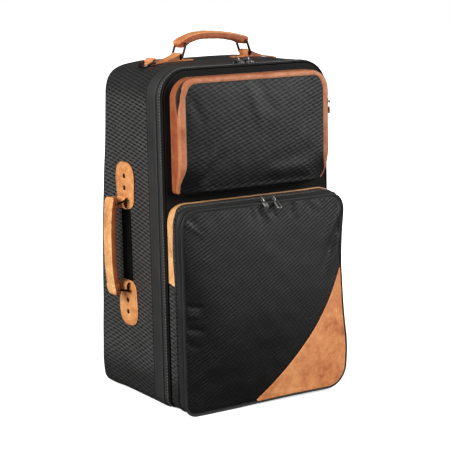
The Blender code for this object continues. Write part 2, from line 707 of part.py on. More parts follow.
def build_patch(box, axis):
    """Leather patch on the corner: from a shallow curve out to the panel's edge."""
    left, right, bottom, top, radius = box
    inset = PATCH_INSET
    corners = [(right - inset, PATCH_SIDE_TOP), (right - inset, bottom + inset),
               (PATCH_BOTTOM_LEFT, bottom + inset)]
    border = rounded_path(corners, (0, radius - inset, 0), (PATCH_STEPS, PATCH_STEPS), False)
    share = np.linspace(0, 1, len(border))[:, None]
    start = border[0]
    end = border[-1]
    through = np.array([PATCH_MIDDLE_X, PATCH_MIDDLE_Z])
    control = 2 * through - (start + end) / 2
    curve = (1 - share) ** 2 * start + 2 * share * (1 - share) * control + share ** 2 * end
    grids = []
    for lift in (PATCH_LIFT + PATCH_THICKNESS, PATCH_LIFT):
        rows = []
        for row_share in PATCH_ROW_SHARES:
            ring = curve + (border - curve) * row_share
            swell = crown_at(box, LOWER_RIM_INSET, LOWER_CROWN, ring[:, 0], ring[:, 1])
            rows.append(at_depth(ring, out_from_lid(LOWER_FRONT_DEPTH + lift) - swell))
        grids.append(rows)
    rows_outer = np.array(grids[0])[:, 1:-1]
    rows_inner = np.array(grids[1])[:, 1:-1]
    slab("leather_corner_patch", rows_outer, rows_inner, LEATHER, axis)


def band_sections(box, split, upward, points=None, from_right=False):
    """Sections of the leather band: along the side, round the edge, onto the front."""
    back = UPPER_ZIP_FRONT + FIT_GAP if upward else UPPER_ZIP_BACK
    wall = UPPER_BAND_THICKNESS
    turn = UPPER_BAND_ROUND
    profile = [(0.0, back), (0.0, UPPER_DEPTH - turn)]
    for angle in np.linspace(0, math.pi / 2, CORNER_SIDES // 2 + 1)[1:]:
        profile.append((turn * (1 - math.cos(angle)), UPPER_DEPTH - turn * (1 - math.sin(angle))))
    profile += [(UPPER_BAND_FRONT, UPPER_DEPTH), (UPPER_BAND_FRONT, UPPER_DEPTH - wall),
                (turn, UPPER_DEPTH - wall), (wall, UPPER_DEPTH - turn), (wall, back)]
    rows = []
    for inset, depth in profile:
        outline = arch_outline(box, split, inset, upward)
        if from_right:
            outline = outline[::-1]
        rows.append(at_depth(outline[:points], out_from_lid(depth)))
    return np.stack(rows, axis=1)


def build_upper_pocket(lid_axis, flap_axis):
    start = out_from_lid(FIT_GAP)
    hoop("upper_pocket_gusset", box_outline(UPPER_BOX), box_outline(UPPER_BOX, UPPER_WALL),
         start, out_from_lid(UPPER_GUSSET_DEPTH), LEATHER, lid_axis)
    split = UPPER_SPLIT + FIT_GAP / 2
    inset = UPPER_ZIP_INSET
    hoop("upper_pocket_zip_tape", arch_outline(UPPER_BOX, split, inset),
         arch_outline(UPPER_BOX, split, inset + UPPER_ZIP_THICKNESS),
         out_from_lid(UPPER_ZIP_BACK), out_from_lid(UPPER_ZIP_FRONT), TAPE, lid_axis,
         closed=False)
    skin("upper_flap_band", band_sections(UPPER_BOX, split, True), LEATHER, flap_axis)
    depths = (UPPER_FRONT_DEPTH - UPPER_WALL, UPPER_FRONT_DEPTH)
    pocket_panel("upper_flap_panel", (UPPER_BOX, UPPER_BOX), split, UPPER_PANEL_INSET,
                 UPPER_WALL, depths, UPPER_CROWN, True, WOVEN, flap_axis)
    split = UPPER_SPLIT - FIT_GAP / 2
    for word, from_right in (("left", False), ("right", True)):
        sections = band_sections(UPPER_BOX, split, False, ARCH_SIDE_STEPS + 1, from_right)
        skin(f"upper_band_leg_{word}", sections, LEATHER, lid_axis)
    panel_box = (UPPER_LEFT + UPPER_PANEL_INSET, UPPER_RIGHT - UPPER_PANEL_INSET,
                 UPPER_BOTTOM, UPPER_TOP - UPPER_PANEL_INSET, UPPER_RADIUS - UPPER_PANEL_INSET)
    depths = (UPPER_ZIP_BACK, UPPER_FRONT_DEPTH)
    pocket_panel("upper_pocket_panel", (panel_box, panel_box), split, 0.0, UPPER_WALL,
                 depths, UPPER_CROWN, False, WOVEN, lid_axis)


# Leather straps that wrap the bars of rings

def curl_profile(centre):
    """Points of a strap's curl round a bar, from its right foot over to its left foot."""
    hole = WIRE_RADIUS + WIRE_CLEARANCE
    foot = ROLL_FOOT_TURN
    slit_top = ROLL_SLIT_TOP_TURN
    slit_bottom = ROLL_SLIT_BOTTOM_TURN
    points = [(centre + ROLL_RADIUS * math.cos(foot), STRAP_THICKNESS)]
    for turn in np.linspace(-foot, slit_top, ROUND_SIDES):
        points.append((centre + ROLL_RADIUS * math.cos(turn),
                       ROLL_HEIGHT + ROLL_RADIUS * math.sin(turn)))
    for turn in np.linspace(slit_top, slit_bottom - 2 * math.pi, ROUND_SIDES):
        points.append((centre + hole * math.cos(turn), ROLL_HEIGHT + hole * math.sin(turn)))
    points.append((centre + ROLL_RADIUS * math.cos(slit_bottom),
                   ROLL_HEIGHT + ROLL_RADIUS * math.sin(slit_bottom)))
    points.append((centre - ROLL_RADIUS, STRAP_THICKNESS))
    return points


def strap(name, low, high, curls, half_width, place, material):
    """Strap lying along u from low to high, with curls, as wide as half_width(u) says.

    place turns arrays of u (along), y (across) and w (up from the surface) into points.
    """
    stations = np.linspace(low, high, STRAP_STATIONS)
    top = []
    for centre in sorted(curls, reverse=True):
        top.append(curl_profile(centre))
    clear = [u for u in stations
             if all(abs(u - centre) > ROLL_RADIUS + STRAP_THICKNESS for centre in curls)]
    runs = [[(u, STRAP_THICKNESS)] for u in clear] + top
    runs.sort(key=lambda run: run[0][0], reverse=True)
    profile = [(u, 0.0) for u in stations]
    for run in runs:
        profile += run
    along = np.array([u for u, _ in profile])
    height = np.array([w for _, w in profile])
    wide = np.array([half_width(u) for u in along])
    wide = np.where(height > STRAP_THICKNESS, np.minimum(wide, ROLL_LENGTH / 2), wide)
    sections = [place(along, -wide, height), place(along, wide, height)]
    return skin(name, sections, material)


def rounded_end(u, low, high, full):
    """Half width of a strap whose two ends are rounded off."""
    reach = full / 2
    near = min(u - low, high - u)
    if near >= reach:
        return full / 2
    lean = 1 - near / reach
    rounding = math.sqrt(max(1 - lean ** 2, 0))
    return full / 2 * (STRAP_END_SHARE + (1 - STRAP_END_SHARE) * rounding)


def top_place(along, across, up):
    """Points on the case's top; beyond the straight stretch they follow its corner."""
    straight = HALF_WIDTH - CORNER_RADIUS
    over = np.clip(np.abs(along) - straight, 0, CORNER_RADIUS)
    drop = np.sqrt(CORNER_RADIUS ** 2 - over ** 2) - CORNER_RADIUS
    return np.stack([along, TOP_HANDLE_Y + across, CASE_HEIGHT + FIT_GAP + up + drop], axis=-1)


def side_place(along, across, up):
    """Points on the case's left side."""
    return np.stack([-HALF_WIDTH - FIT_GAP - up, SIDE_HANDLE_Y + across,
                     SIDE_HANDLE_Z + along], axis=-1)


def wire_ring(name, pivot, bar, half_width, axis):
    """Wire ring round two bars across Y: one through the strap, one through the grip."""
    pivot = np.array(pivot)
    link = np.array(bar) - pivot
    length = np.linalg.norm(link)
    corners = [(0, -half_width), (length, -half_width), (length, half_width), (0, half_width)]
    flat = rounded_path(corners, [RING_CORNER] * 4, (1, 1, 1, 1), True, SMALL_ARC_STEPS)
    along = link / length
    path = pivot + flat[:, :1] * along + flat[:, 1:] * np.array([0, 1, 0])
    return tube(name, path, np.cross(along, (0, 1, 0)), WIRE_RADIUS, WIRE_SIDES, BRONZE, axis)


def carrying_grip(name, place, bar_u, bar_w, reach, rise, axis):
    """Bowed leather grip, oval in section, with an eye for each ring's bar."""
    along = np.linspace(-bar_u - reach, bar_u + reach, GRIP_STATIONS)
    bow = rise * (1 - (along / bar_u) ** 2) + GRIP_BAR_DROP
    slope = -2 * rise * along / bar_u ** 2
    length = np.sqrt(1 + slope ** 2)
    angles = np.arange(GRIP_SIDES) * 2 * math.pi / GRIP_SIDES
    from_end = (bar_u + reach - np.abs(along)) / reach
    swell = GRIP_END_SHARE + (1 - GRIP_END_SHARE) * np.sqrt(np.clip(1 - (1 - np.clip(
        from_end, 0, 1)) ** 2, 0, 1))
    squared = np.sign(np.cos(angles)) * np.abs(np.cos(angles)) ** GRIP_SQUARE_SHARE
    across = squared[None, :] * GRIP_WIDTH / 2 * swell[:, None]
    thick = np.sin(angles)[None, :] * GRIP_THICKNESS / 2 * swell[:, None]
    u = along[:, None] - thick * (slope / length)[:, None]
    w = bar_w + bow[:, None] + thick / length[:, None]
    grip = skin(name, place(u, across, w), LEATHER, axis)
    for word, sign in (("near", -1), ("far", 1)):
        centre = place(np.array(sign * bar_u), np.array(0.0), np.array(bar_w))
        eye = rod(f"{name}_eye_{word}", centre, (0, 1, 0), 2 * GRIP_WIDTH,
                  WIRE_RADIUS + GRIP_EYE_CLEARANCE, LEATHER)
        cut_or_join(grip, eye, "DIFFERENCE")
    return grip


def build_top_handle():
    low = TOP_ANCHOR_INNER_X
    high = TOP_ANCHOR_OUTER_X
    for word, sign, curls in (("right", 1, [TOP_ROLL_X]),
                              ("left", -1, [-TOP_ROLL_X, STRAP_RING_X])):
        ends = sorted((sign * low, sign * high))
        strap(f"top_anchor_{word}", ends[0], ends[1], curls,
              lambda u, ends=ends: rounded_end(u, ends[0], ends[1], TOP_ANCHOR_WIDTH),
              top_place, LEATHER)
    pivots = {}
    bars = {}
    for word, sign in (("left", -1), ("right", 1)):
        pivots[word] = tuple(top_place(np.array(sign * TOP_ROLL_X), np.array(0.0),
                                       np.array(ROLL_HEIGHT)))
        bars[word] = tuple(top_place(np.array(sign * TOP_BAR_X), np.array(0.0),
                                     np.array(TOP_BAR_HEIGHT)))
    left_axis = make_axis("top_ring_left_axis", pivots["left"])
    right_axis = make_axis("top_ring_right_axis", pivots["right"])
    wire_ring("top_ring_left", pivots["left"], bars["left"], RING_WIDTH / 2, left_axis)
    wire_ring("top_ring_right", pivots["right"], bars["right"], RING_WIDTH / 2, right_axis)
    grip_axis = make_axis("top_grip_axis", bars["left"], left_axis)
    carrying_grip("top_grip", top_place, TOP_BAR_X, TOP_BAR_HEIGHT, TOP_GRIP_REACH,
                  TOP_GRIP_RISE, grip_axis)


def build_strap_ring():
    """Ring for a shoulder strap, lying out over the case's top left corner."""
    pivot = top_place(np.array(STRAP_RING_X), np.array(0.0), np.array(ROLL_HEIGHT))
    out = np.array([-math.cos(STRAP_RING_DROOP), 0, -math.sin(STRAP_RING_DROOP)])
    half = RING_WIDTH / 2
    depth = STRAP_RING_DEPTH
    corners = [(0, -half), (depth, -half * RING_FAR_SHARE), (depth, half * RING_FAR_SHARE),
               (0, half)]
    radii = (RING_CORNER, depth * RING_FAR_ROUND_SHARE, depth * RING_FAR_ROUND_SHARE,
             RING_CORNER)
    flat = rounded_path(corners, radii, (1, 1, 1, 1), True, 2 * SMALL_ARC_STEPS)
    path = pivot + flat[:, :1] * out + flat[:, 1:] * np.array([0, 1, 0])
    axis = make_axis("strap_ring_axis", tuple(pivot))
    tube("strap_ring", path, np.cross(out, (0, 1, 0)), WIRE_RADIUS, WIRE_SIDES, NICKEL, axis)


def side_plate_half_width(u):
    """Half width of a side plate: rounded outer end, narrower towards its inner tip."""
    reach = abs(u)
    neck = SIDE_PLATE_NECK_WIDTH / 2
    full = SIDE_PLATE_WIDTH / 2
    share = np.clip((reach - SIDE_PLATE_INNER_Z) / (SIDE_ROLL_Z - SIDE_PLATE_INNER_Z), 0, 1)
    tip = neck * (SIDE_TIP_SHARE + (1 - SIDE_TIP_SHARE) * math.sqrt(share))
    span = SIDE_PLATE_OUTER_Z - full - SIDE_ROLL_Z
    grow = np.clip((reach - SIDE_ROLL_Z) / span, 0, 1)
    wide = tip + (full - neck) * grow
    lean = np.clip((reach - (SIDE_PLATE_OUTER_Z - full)) / full, 0, 1)
    return wide * (SIDE_END_SHARE + (1 - SIDE_END_SHARE) * math.sqrt(1 - lean ** 2))


def build_side_handle():
    inner = SIDE_PLATE_INNER_Z
    outer = SIDE_PLATE_OUTER_Z
    pivots = {}
    bars = {}
    for word, sign in (("lower", -1), ("upper", 1)):
        ends = sorted((sign * inner, sign * outer))
        strap(f"side_anchor_{word}", ends[0], ends[1], [sign * SIDE_ROLL_Z],
              side_plate_half_width, side_place, LEATHER)
        pivots[word] = tuple(side_place(np.array(sign * SIDE_ROLL_Z), np.array(0.0),
                                        np.array(ROLL_HEIGHT)))
        bars[word] = tuple(side_place(np.array(sign * SIDE_BAR_Z), np.array(0.0),
                                      np.array(SIDE_BAR_OUT)))
        for level, reach in (("inner", SCREW_INNER_Z), ("outer", SCREW_OUTER_Z)):
            build_screw(f"side_screw_{word}_{level}", sign * reach)
    upper_axis = make_axis("side_ring_upper_axis", pivots["upper"])
    lower_axis = make_axis("side_ring_lower_axis", pivots["lower"])
    wire_ring("side_ring_upper", pivots["upper"], bars["upper"], RING_WIDTH / 2, upper_axis)
    wire_ring("side_ring_lower", pivots["lower"], bars["lower"], RING_WIDTH / 2, lower_axis)
    grip_axis = make_axis("side_grip_axis", bars["upper"], upper_axis)
    carrying_grip("side_grip", side_place, SIDE_BAR_Z, SIDE_BAR_OUT, SIDE_GRIP_REACH,
                  SIDE_GRIP_RISE, grip_axis)
    half = WEBBING_WIDTH / 2
    reach = inner - FIT_GAP
    profile = np.array([(-half, 0.0), (half, 0.0), (half, WEBBING_THICKNESS),
                        (-half, WEBBING_THICKNESS)])
    sections = [side_place(np.full(4, u), profile[:, 0], profile[:, 1])
                for u in (-reach, reach)]
    skin("side_webbing", sections, WEBBING)


def build_screw(name, along):
    """Round screw head, a little domed, on a side plate."""
    angles = np.arange(ROUND_SIDES) * 2 * math.pi / ROUND_SIDES
    base = STRAP_THICKNESS + FIT_GAP
    sections = []
    for radius_share, height_share in SCREW_PROFILE_SHARES:
        radius = SCREW_RADIUS * radius_share
        up = np.full(ROUND_SIDES, base + SCREW_HEIGHT * height_share)
        sections.append(side_place(along + radius * np.sin(angles), radius * np.cos(angles), up))
    skin(name, sections, BLACK_METAL)


# Zip sliders

def build_slider(name, seat, travel, up, bridge_along_travel, axis):
    """Slider body: a tapered plate and a bridge over it; returns the bridge bar's centre."""
    seat = np.array(seat)
    travel = np.array(travel, dtype=float)
    up = np.array(up, dtype=float)
    side = np.cross(up, travel)
    half_length = SLIDER_LENGTH / 2
    half_width = SLIDER_WIDTH / 2
    narrow = half_width * SLIDER_PLATE_TAPER_SHARE
    corner = half_width * SLIDER_CORNER_SHARE
    outline = rounded_path([(half_length, narrow), (0, half_width), (-half_length, half_width),
                            (-half_length, -half_width), (0, -half_width),
                            (half_length, -narrow)],
                           (corner, 0, corner, corner, 0, corner),
                           (1, 1, 1, 1, 1, 1), True, SMALL_ARC_STEPS)
    sections = []
    for height_share, share in SLIDER_PROFILE_SHARES:
        flat = outline * share
        height = SLIDER_PLATE * height_share
        sections.append(seat + flat[:, :1] * travel + flat[:, 1:] * side + height * up)
    body = skin(name, sections, BLACK_METAL, axis)
    arm = travel if bridge_along_travel else side
    half = BRIDGE_SPAN / 2
    foot = SLIDER_PLATE / 2
    flat = rounded_path([(-half, foot), (-half, BRIDGE_HEIGHT), (half, BRIDGE_HEIGHT),
                         (half, foot)], (0, half / 2, half / 2, 0), (1, 1, 1), False,
                        SMALL_ARC_STEPS)
    path = seat + flat[:, :1] * arm + flat[:, 1:] * up
    bridge = tube(f"{name}_bridge", path, np.cross(arm, up), BRIDGE_RADIUS, CORNER_SIDES,
                  BLACK_METAL, closed=False)
    cut_or_join(body, bridge, "UNION")
    return seat + up * BRIDGE_HEIGHT


def build_pull(name, pivot, hinge, out, length, material, axis):
    """Pull: a wire loop round the slider's bridge, joined to a flat tapered tab."""
    pivot = np.array(pivot)
    hinge = np.array(hinge, dtype=float)
    out = np.array(out, dtype=float)
    flat_normal = np.cross(hinge, out)
    half = PULL_LOOP_HALF_WIDTH
    corners = [(-PULL_LOOP_BACK, -half), (PULL_LOOP_LENGTH, -half),
               (PULL_LOOP_LENGTH, half), (-PULL_LOOP_BACK, half)]
    flat = rounded_path(corners, [half * PULL_CORNER_SHARE] * 4, (1, 1, 1, 1), True,
                        SMALL_ARC_STEPS)
    path = pivot + flat[:, :1] * out + flat[:, 1:] * flat_normal
    pull = tube(name, path, hinge, PULL_WIRE_RADIUS, CORNER_SIDES, material, axis)
    sections = []
    start = PULL_LOOP_LENGTH - PULL_WIRE_RADIUS / 2
    tab_length = length - start
    for along_share, width_share, thick_share in PULL_TAB_SHARES:
        width = PULL_TAB_WIDTH + (PULL_TAB_END_WIDTH - PULL_TAB_WIDTH) * along_share
        across = width / 2 * width_share
        thick = PULL_TAB_THICKNESS / 2 * thick_share
        centre = pivot + out * (start + tab_length * along_share)
        sections.append([centre + hinge * a * across + flat_normal * b * thick
                         for a, b in PULL_TAB_SECTION_SHARES])
    tab = skin(f"{name}_tab", sections, material)
    cut_or_join(pull, tab, "UNION")


def forward_and_down(droop):
    return (0, -math.cos(droop), -math.sin(droop))


def build_sliders(lower_flap_axis, upper_flap_axis):
    seat_z = CASE_HEIGHT + FIT_GAP
    for word, x in (("left", MAIN_SLIDER_LEFT_X), ("right", MAIN_SLIDER_RIGHT_X)):
        travel = (-1, 0, 0) if word == "left" else (1, 0, 0)
        seat = (x, ZIP_Y, seat_z)
        axis = make_axis(f"main_slider_{word}_axis", seat)
        pivot = build_slider(f"main_slider_{word}", seat, travel, (0, 0, 1), True, axis)
        pull_axis = make_axis(f"main_pull_{word}_axis", tuple(pivot), axis)
        build_pull(f"main_pull_{word}", pivot, (1, 0, 0), forward_and_down(MAIN_PULL_DROOP),
                   MAIN_PULL_LENGTH, NICKEL, pull_axis)
    depth = LOWER_REAR_TAPE_FRONT
    top = lower_box(depth)[3] - LOWER_TAPE_INSET
    slope_rise = SLIDER_WIDTH / 2 * LOWER_TOP_DROP / LOWER_DEPTH
    for word, x in (("left", LOWER_SLIDER_LEFT_X), ("right", LOWER_SLIDER_RIGHT_X)):
        travel = (-1, 0, 0) if word == "left" else (1, 0, 0)
        seat = (x, out_from_lid(depth), top + slope_rise + FIT_GAP)
        axis = make_axis(f"lower_slider_{word}_axis", seat, lower_flap_axis)
        pivot = build_slider(f"lower_slider_{word}", seat, travel, (0, 0, 1), True, axis)
        pull_axis = make_axis(f"lower_pull_{word}_axis", tuple(pivot), axis)
        build_pull(f"lower_pull_{word}", pivot, (1, 0, 0), forward_and_down(LOWER_PULL_DROOP),
                   LOWER_PULL_LENGTH, NICKEL, pull_axis)
    zip_middle = (UPPER_ZIP_BACK + UPPER_ZIP_FRONT) / 2
    seat = (UPPER_RIGHT + FIT_GAP, out_from_lid(zip_middle), UPPER_SLIDER_Z)
    axis = make_axis("upper_slider_axis", seat, upper_flap_axis)
    pivot = build_slider("upper_slider", seat, (0, 0, -1), (1, 0, 0), False, axis)
    pull_axis = make_axis("upper_pull_axis", tuple(pivot), axis)
    build_pull("upper_pull", pivot, (0, 1, 0), (0, 0, -1), UPPER_PULL_LENGTH, NICKEL,
               pull_axis)


# The whole case

def main():
    build_tub()
    hinge_leaf("tub_hinge_leaf", ZIP_Y, BAND_BACK_Y - LEAF_MARGIN, True)
    build_padding()
    lid_axis = make_axis("lid_axis", (HINGE_X, ZIP_Y, 0.0))
    build_lid(lid_axis)
    lower_flap_axis = make_axis("lower_flap_axis",
                                (0.0, out_from_lid(LOWER_FRONT_DEPTH + LOWER_CROWN),
                                 LOWER_SPLIT), lid_axis)
    build_lower_pocket(lid_axis, lower_flap_axis)
    upper_flap_axis = make_axis("upper_flap_axis",
                                (0.0, out_from_lid(UPPER_FRONT_DEPTH + UPPER_CROWN),
                                 UPPER_SPLIT), lid_axis)
    build_upper_pocket(lid_axis, upper_flap_axis)
    build_top_handle()
    build_strap_ring()
    build_side_handle()
    build_sliders(lower_flap_axis, upper_flap_axis)


for old in list(bpy.data.objects):
    bpy.data.objects.remove(old, do_unlink=True)
main()
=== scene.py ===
"""Soft zipped case for two trumpets: cloth, leather, zips and handles round its CAD frame.

Units are metres. X runs to the right, Y to the back, Z up, and the origin is the centre
of the base. Every piece is a surface worked out from the sizes below.
"""
import math

import bmesh
import bpy
import numpy as np
from bpy.props import FloatProperty, FloatVectorProperty, PointerProperty
from mathutils import Matrix, Vector


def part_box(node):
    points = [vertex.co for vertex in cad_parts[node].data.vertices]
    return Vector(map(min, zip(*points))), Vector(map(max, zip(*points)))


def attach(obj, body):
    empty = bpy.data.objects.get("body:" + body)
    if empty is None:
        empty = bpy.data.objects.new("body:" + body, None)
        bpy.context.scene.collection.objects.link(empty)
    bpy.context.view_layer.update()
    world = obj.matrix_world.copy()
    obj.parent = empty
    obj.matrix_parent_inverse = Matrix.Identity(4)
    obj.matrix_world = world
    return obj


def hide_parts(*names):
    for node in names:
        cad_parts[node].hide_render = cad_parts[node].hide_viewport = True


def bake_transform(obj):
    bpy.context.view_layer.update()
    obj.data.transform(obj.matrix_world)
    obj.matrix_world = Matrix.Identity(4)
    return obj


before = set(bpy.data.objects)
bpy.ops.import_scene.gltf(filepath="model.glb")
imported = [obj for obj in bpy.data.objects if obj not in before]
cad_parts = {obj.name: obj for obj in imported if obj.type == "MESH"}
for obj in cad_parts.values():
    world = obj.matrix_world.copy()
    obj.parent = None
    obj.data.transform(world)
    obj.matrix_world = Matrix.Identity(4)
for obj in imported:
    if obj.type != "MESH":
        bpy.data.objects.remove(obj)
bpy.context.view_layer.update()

bl_info = {
    "name": "Soft trumpet case",
    "version": (1, 0, 0),
    "blender": (4, 5, 0),
    "location": "View3D > Sidebar > Case",
    "description": "Builds a soft zipped case for two trumpets round its CAD frame",
    "category": "Object",
}

TURN = 2 * math.pi
QUARTER = math.pi / 2

# Boxes in X and Z: left, right, bottom, top, and the radii of the low left, high left, high
# right and low right corners
TUB_LOW, TUB_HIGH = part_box("tub_shell")
CORNER_RADIUS = 0.048
CASE_CORNERS = (0.018, CORNER_RADIUS, CORNER_RADIUS, 0.018)
TUB_BOX = (TUB_LOW.x, TUB_HIGH.x, TUB_LOW.z, TUB_HIGH.z, CASE_CORNERS)
LID_BOX = (TUB_LOW.x, TUB_HIGH.x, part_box("lid_shell")[0].z, TUB_HIGH.z, CASE_CORNERS)
LOWER_LEFT, LOWER_RIGHT, LOWER_BOTTOM, LOWER_TOP = -0.156, 0.154, 0.0035, 0.3465
LOWER_RADIUS = 0.035
LOWER_CORNERS = (0.020, LOWER_RADIUS, LOWER_RADIUS, LOWER_RADIUS)
UPPER_RADIUS = 0.033
UPPER_BOX = (-0.145, 0.143, 0.358, 0.545, (0.009, UPPER_RADIUS, UPPER_RADIUS, 0.024))

# Places along Y, and the X of the axis that the lid turns on
FRONT_Y = -0.114
ZIP_Y = -0.0945
TUB_RIM_Y = -0.0920
LID_RIM_Y = -0.0970
BAND_BACK_Y = -0.0650
COVER_FRONT_Y = -0.0624
HINGE_X = 0.1617

# Heights at which the pocket fronts fold, and of the axis that the lower pulls turn on
LOWER_SPLIT = 0.2105
UPPER_SPLIT = 0.4820
LOWER_PULL_Z = 0.3436

# Depths of the lower pocket from the lid: end of its sides, tape, teeth and front rim; and
# how far these outlines lie inside its box
SIDES_DEPTH = 0.0225
TAPE_START = 0.0228
TAPE_END = 0.0413
RIM_START = 0.0416
LOWER_STEP = 0.0035
SEAM_DEPTH = 0.0016

# Handles: the rings' bars in the rolls and in the grips, and the grips' heights
TOP_PIVOT, TOP_BAR, TOP_BAR_HEIGHT = 0.0675, 0.0595, 0.029
SIDE_PIVOT, SIDE_BAR, SIDE_BAR_HEIGHT = 0.0775, 0.0725, 0.0265
STRAP_RING_X = -0.118
RING_CORNER = 0.0034

# Stitches: length, width and height
STITCH = (0.0026, 0.0006, 0.0006)
FLAT_STITCH = (0.0026, 0.0006, 0.0005)

WELD_DISTANCE = 0.000004
SHARP_ANGLE = math.radians(38)


def length_property(name, description, default):
    return FloatProperty(name=name, description=description, default=default, unit="LENGTH",
                         precision=4)


def power_property(name, description, default):
    return FloatProperty(name=name, description=description, default=default, subtype="POWER")


def colour_property(name, description, default):
    return FloatVectorProperty(name=name, description=description, default=default,
                               subtype="COLOR", size=3, min=0.0, max=1.0)


class CaseSizes(bpy.types.PropertyGroup):
    """Sizes of the tub and the lid"""
    step: length_property("Mesh step", "Distance between the columns of the covers", 0.0045)
    shell_wall: length_property("Cover thickness", "Cloth, foam and board together", 0.0045)
    lining_wall: length_property("Lining thickness", "Plush and foam of the lining", 0.0030)
    back_edge: length_property("Back edge radius", "Rounding of the edge of the back", 0.010)
    base_half: length_property("Half depth at the base", "From the middle to the back", 0.114)
    lean: FloatProperty(name="Lean of the back", description="How far the back comes forward "
                        "per metre of height", default=0.060714)
    dent: length_property("Softness", "How deep the cloth dips between its seams", 0.0011)
    stitch_pitch: length_property("Stitch pitch", "Distance between stitches", 0.0036)


class PocketSizes(bpy.types.PropertyGroup):
    """Sizes of the two pockets"""
    lower_depth: length_property("Lower depth", "Depth of the lower pocket", 0.0520)
    lower_crown: length_property("Lower crown", "How far the lower front swells", 0.0080)
    upper_depth: length_property("Upper depth", "Depth of the upper pocket", 0.0300)
    upper_crown: length_property("Upper crown", "How far the upper front swells", 0.0060)
    fold: length_property("Fold height", "Height of the folds in the fronts", 0.0019)
    band: length_property("Band width", "Leather band on the upper pocket's front", 0.0110)
    patch: length_property("Patch thickness", "Leather patch on the lower front", 0.0014)


class HandleSizes(bpy.types.PropertyGroup):
    """Sizes of the straps, rings and grips"""
    strap: length_property("Strap thickness", "Thickness of the leather straps", 0.0022)
    wire: length_property("Wire radius", "Radius of the ring wire", 0.0021)
    roll: length_property("Roll radius", "Outer radius of the rolled strap ends", 0.0047)
    roll_height: length_property("Roll height", "Height of the ring's bar over the case", 0.0065)
    ring_width: length_property("Ring width", "Width of the rings between their legs", 0.0345)
    grip_width: length_property("Grip width", "Width of the grips", 0.0295)
    grip_thickness: length_property("Grip thickness", "Thickness of the grips", 0.0142)


class ZipSizes(bpy.types.PropertyGroup):
    """Sizes of the zips"""
    pitch: length_property("Tooth pitch", "Distance between teeth on one side", 0.0019)
    tooth: length_property("Tooth length", "Length of a tooth across the zip", 0.0020)
    body: length_property("Slider length", "Length of a slider", 0.0165)
    width: length_property("Slider width", "Width of a slider", 0.0125)
    bridge: length_property("Bridge height", "Height of the slider's bridge", 0.0085)


class Finishes(bpy.types.PropertyGroup):
    """Colours of the case"""
    woven_dark: colour_property("Woven ground", "Dark ground of the woven cloth",
                                (0.0040, 0.0039, 0.0038))
    woven_light: colour_property("Woven floats", "Raised threads of the woven cloth",
                                 (0.0230, 0.0224, 0.0220))
    tape: colour_property("Tape", "Smooth black tape", (0.0175, 0.0170, 0.0166))
    leather_light: colour_property("Leather light", "Light patches of the leather",
                                   (0.67, 0.290, 0.112))
    leather_mid: colour_property("Leather", "Main colour of the leather", (0.53, 0.190, 0.065))
    leather_dark: colour_property("Leather dark", "Dark patches of the leather",
                                  (0.35, 0.090, 0.028))
    thread: colour_property("Thread", "Tan sewing thread", (0.52, 0.27, 0.12))
    pale_thread: colour_property("Pale thread", "Pale sewing thread", (0.55, 0.53, 0.50))
    plush: colour_property("Plush", "Plush of the lining", (0.030, 0.029, 0.032))
    nickel: colour_property("Nickel", "Zip pulls", (0.62, 0.61, 0.59))


class StudioSettings(bpy.types.PropertyGroup):
    """Light and floor"""
    ambient: FloatProperty(name="Ambient", description="Even light from all round", default=0.18)
    key: power_property("Key light", "Power of the light on the left", 120.0)
    fill: power_property("Fill light", "Power of the light in front", 78.0)
    sheen: power_property("Sheen light", "Power of the light that grazes the fronts", 15.0)
    top: power_property("Top light", "Power of the light above", 11.0)


# Outlines and grids of points

def run_along(points):
    """Distance along a line from its first point to each of its points."""
    return np.concatenate([[0], np.cumsum(np.linalg.norm(np.diff(points, axis=0), axis=1))])


def sample(at, along, values):
    """Rows of values that are known at the distances along, read off at other distances."""
    return np.stack([np.interp(at, along, column) for column in values.T], axis=1)


def together(*values):
    """Arrays brought to one shape and joined along a new last axis."""
    return np.stack(np.broadcast_arrays(*values), axis=-1)


def at_depth(flat, y):
    """Points (x, y, z) from flat points (x, z) and their depths y."""
    return np.stack([flat[..., 0], np.broadcast_to(y, flat.shape[:-1]), flat[..., 1]], axis=-1)


def box_path(box, step, span="all", split=0.0):
    """Rounded outline: arcs C + r (cos t, sin t) round the corner centres C, straights between.

    "all" starts at the middle of the bottom and goes round by the left. "arch" goes from the
    left side at the split over the top to the right side.
    Gives the points, their outward normals and the distance along.
    """
    left, right, bottom, top, radii = box
    low_left, high_left, high_right, low_right = [
        (np.array([x + radius * across, z + radius * upward]), radius)
        for x, z, across, upward, radius in zip(
            (left, left, right, right), (bottom, top, top, bottom), (1, 1, -1, -1),
            (1, -1, -1, 1), np.broadcast_to(radii, 4))]
    if span == "all":
        first = last = np.array([(left + right) / 2, bottom])
        arcs = ((low_left, -1, -2), (high_left, 2, 1), (high_right, 1, 0), (low_right, 0, -1))
    else:
        first, last = np.array([left, split]), np.array([right, split])
        arcs = ((high_left, 2, 1), (high_right, 1, 0))
    places, normals = [], []
    here = first
    for (centre, radius), start, end in arcs:
        arc_count = max(7, round(radius * QUARTER / step))
        angle = np.linspace(start, end, arc_count + 1) * QUARTER
        turn = np.stack([np.cos(angle), np.sin(angle)], axis=1)
        arc = centre + radius * turn
        count = max(1, round(np.linalg.norm(arc[0] - here) / step))
        places += [here + (arc[0] - here) * np.arange(count)[:, None] / count, arc[:-1]]
        normals += [np.repeat(turn[:1], count, axis=0), turn[:-1]]
        here = arc[-1]
        facing = turn[-1:]
    count = max(1, round(np.linalg.norm(last - here) / step))
    places.append(here + (last - here) * np.arange(count + 1)[:, None] / count)
    normals.append(np.repeat(facing, count + 1, axis=0))
    places = np.concatenate(places)
    return places, np.concatenate(normals), run_along(places)


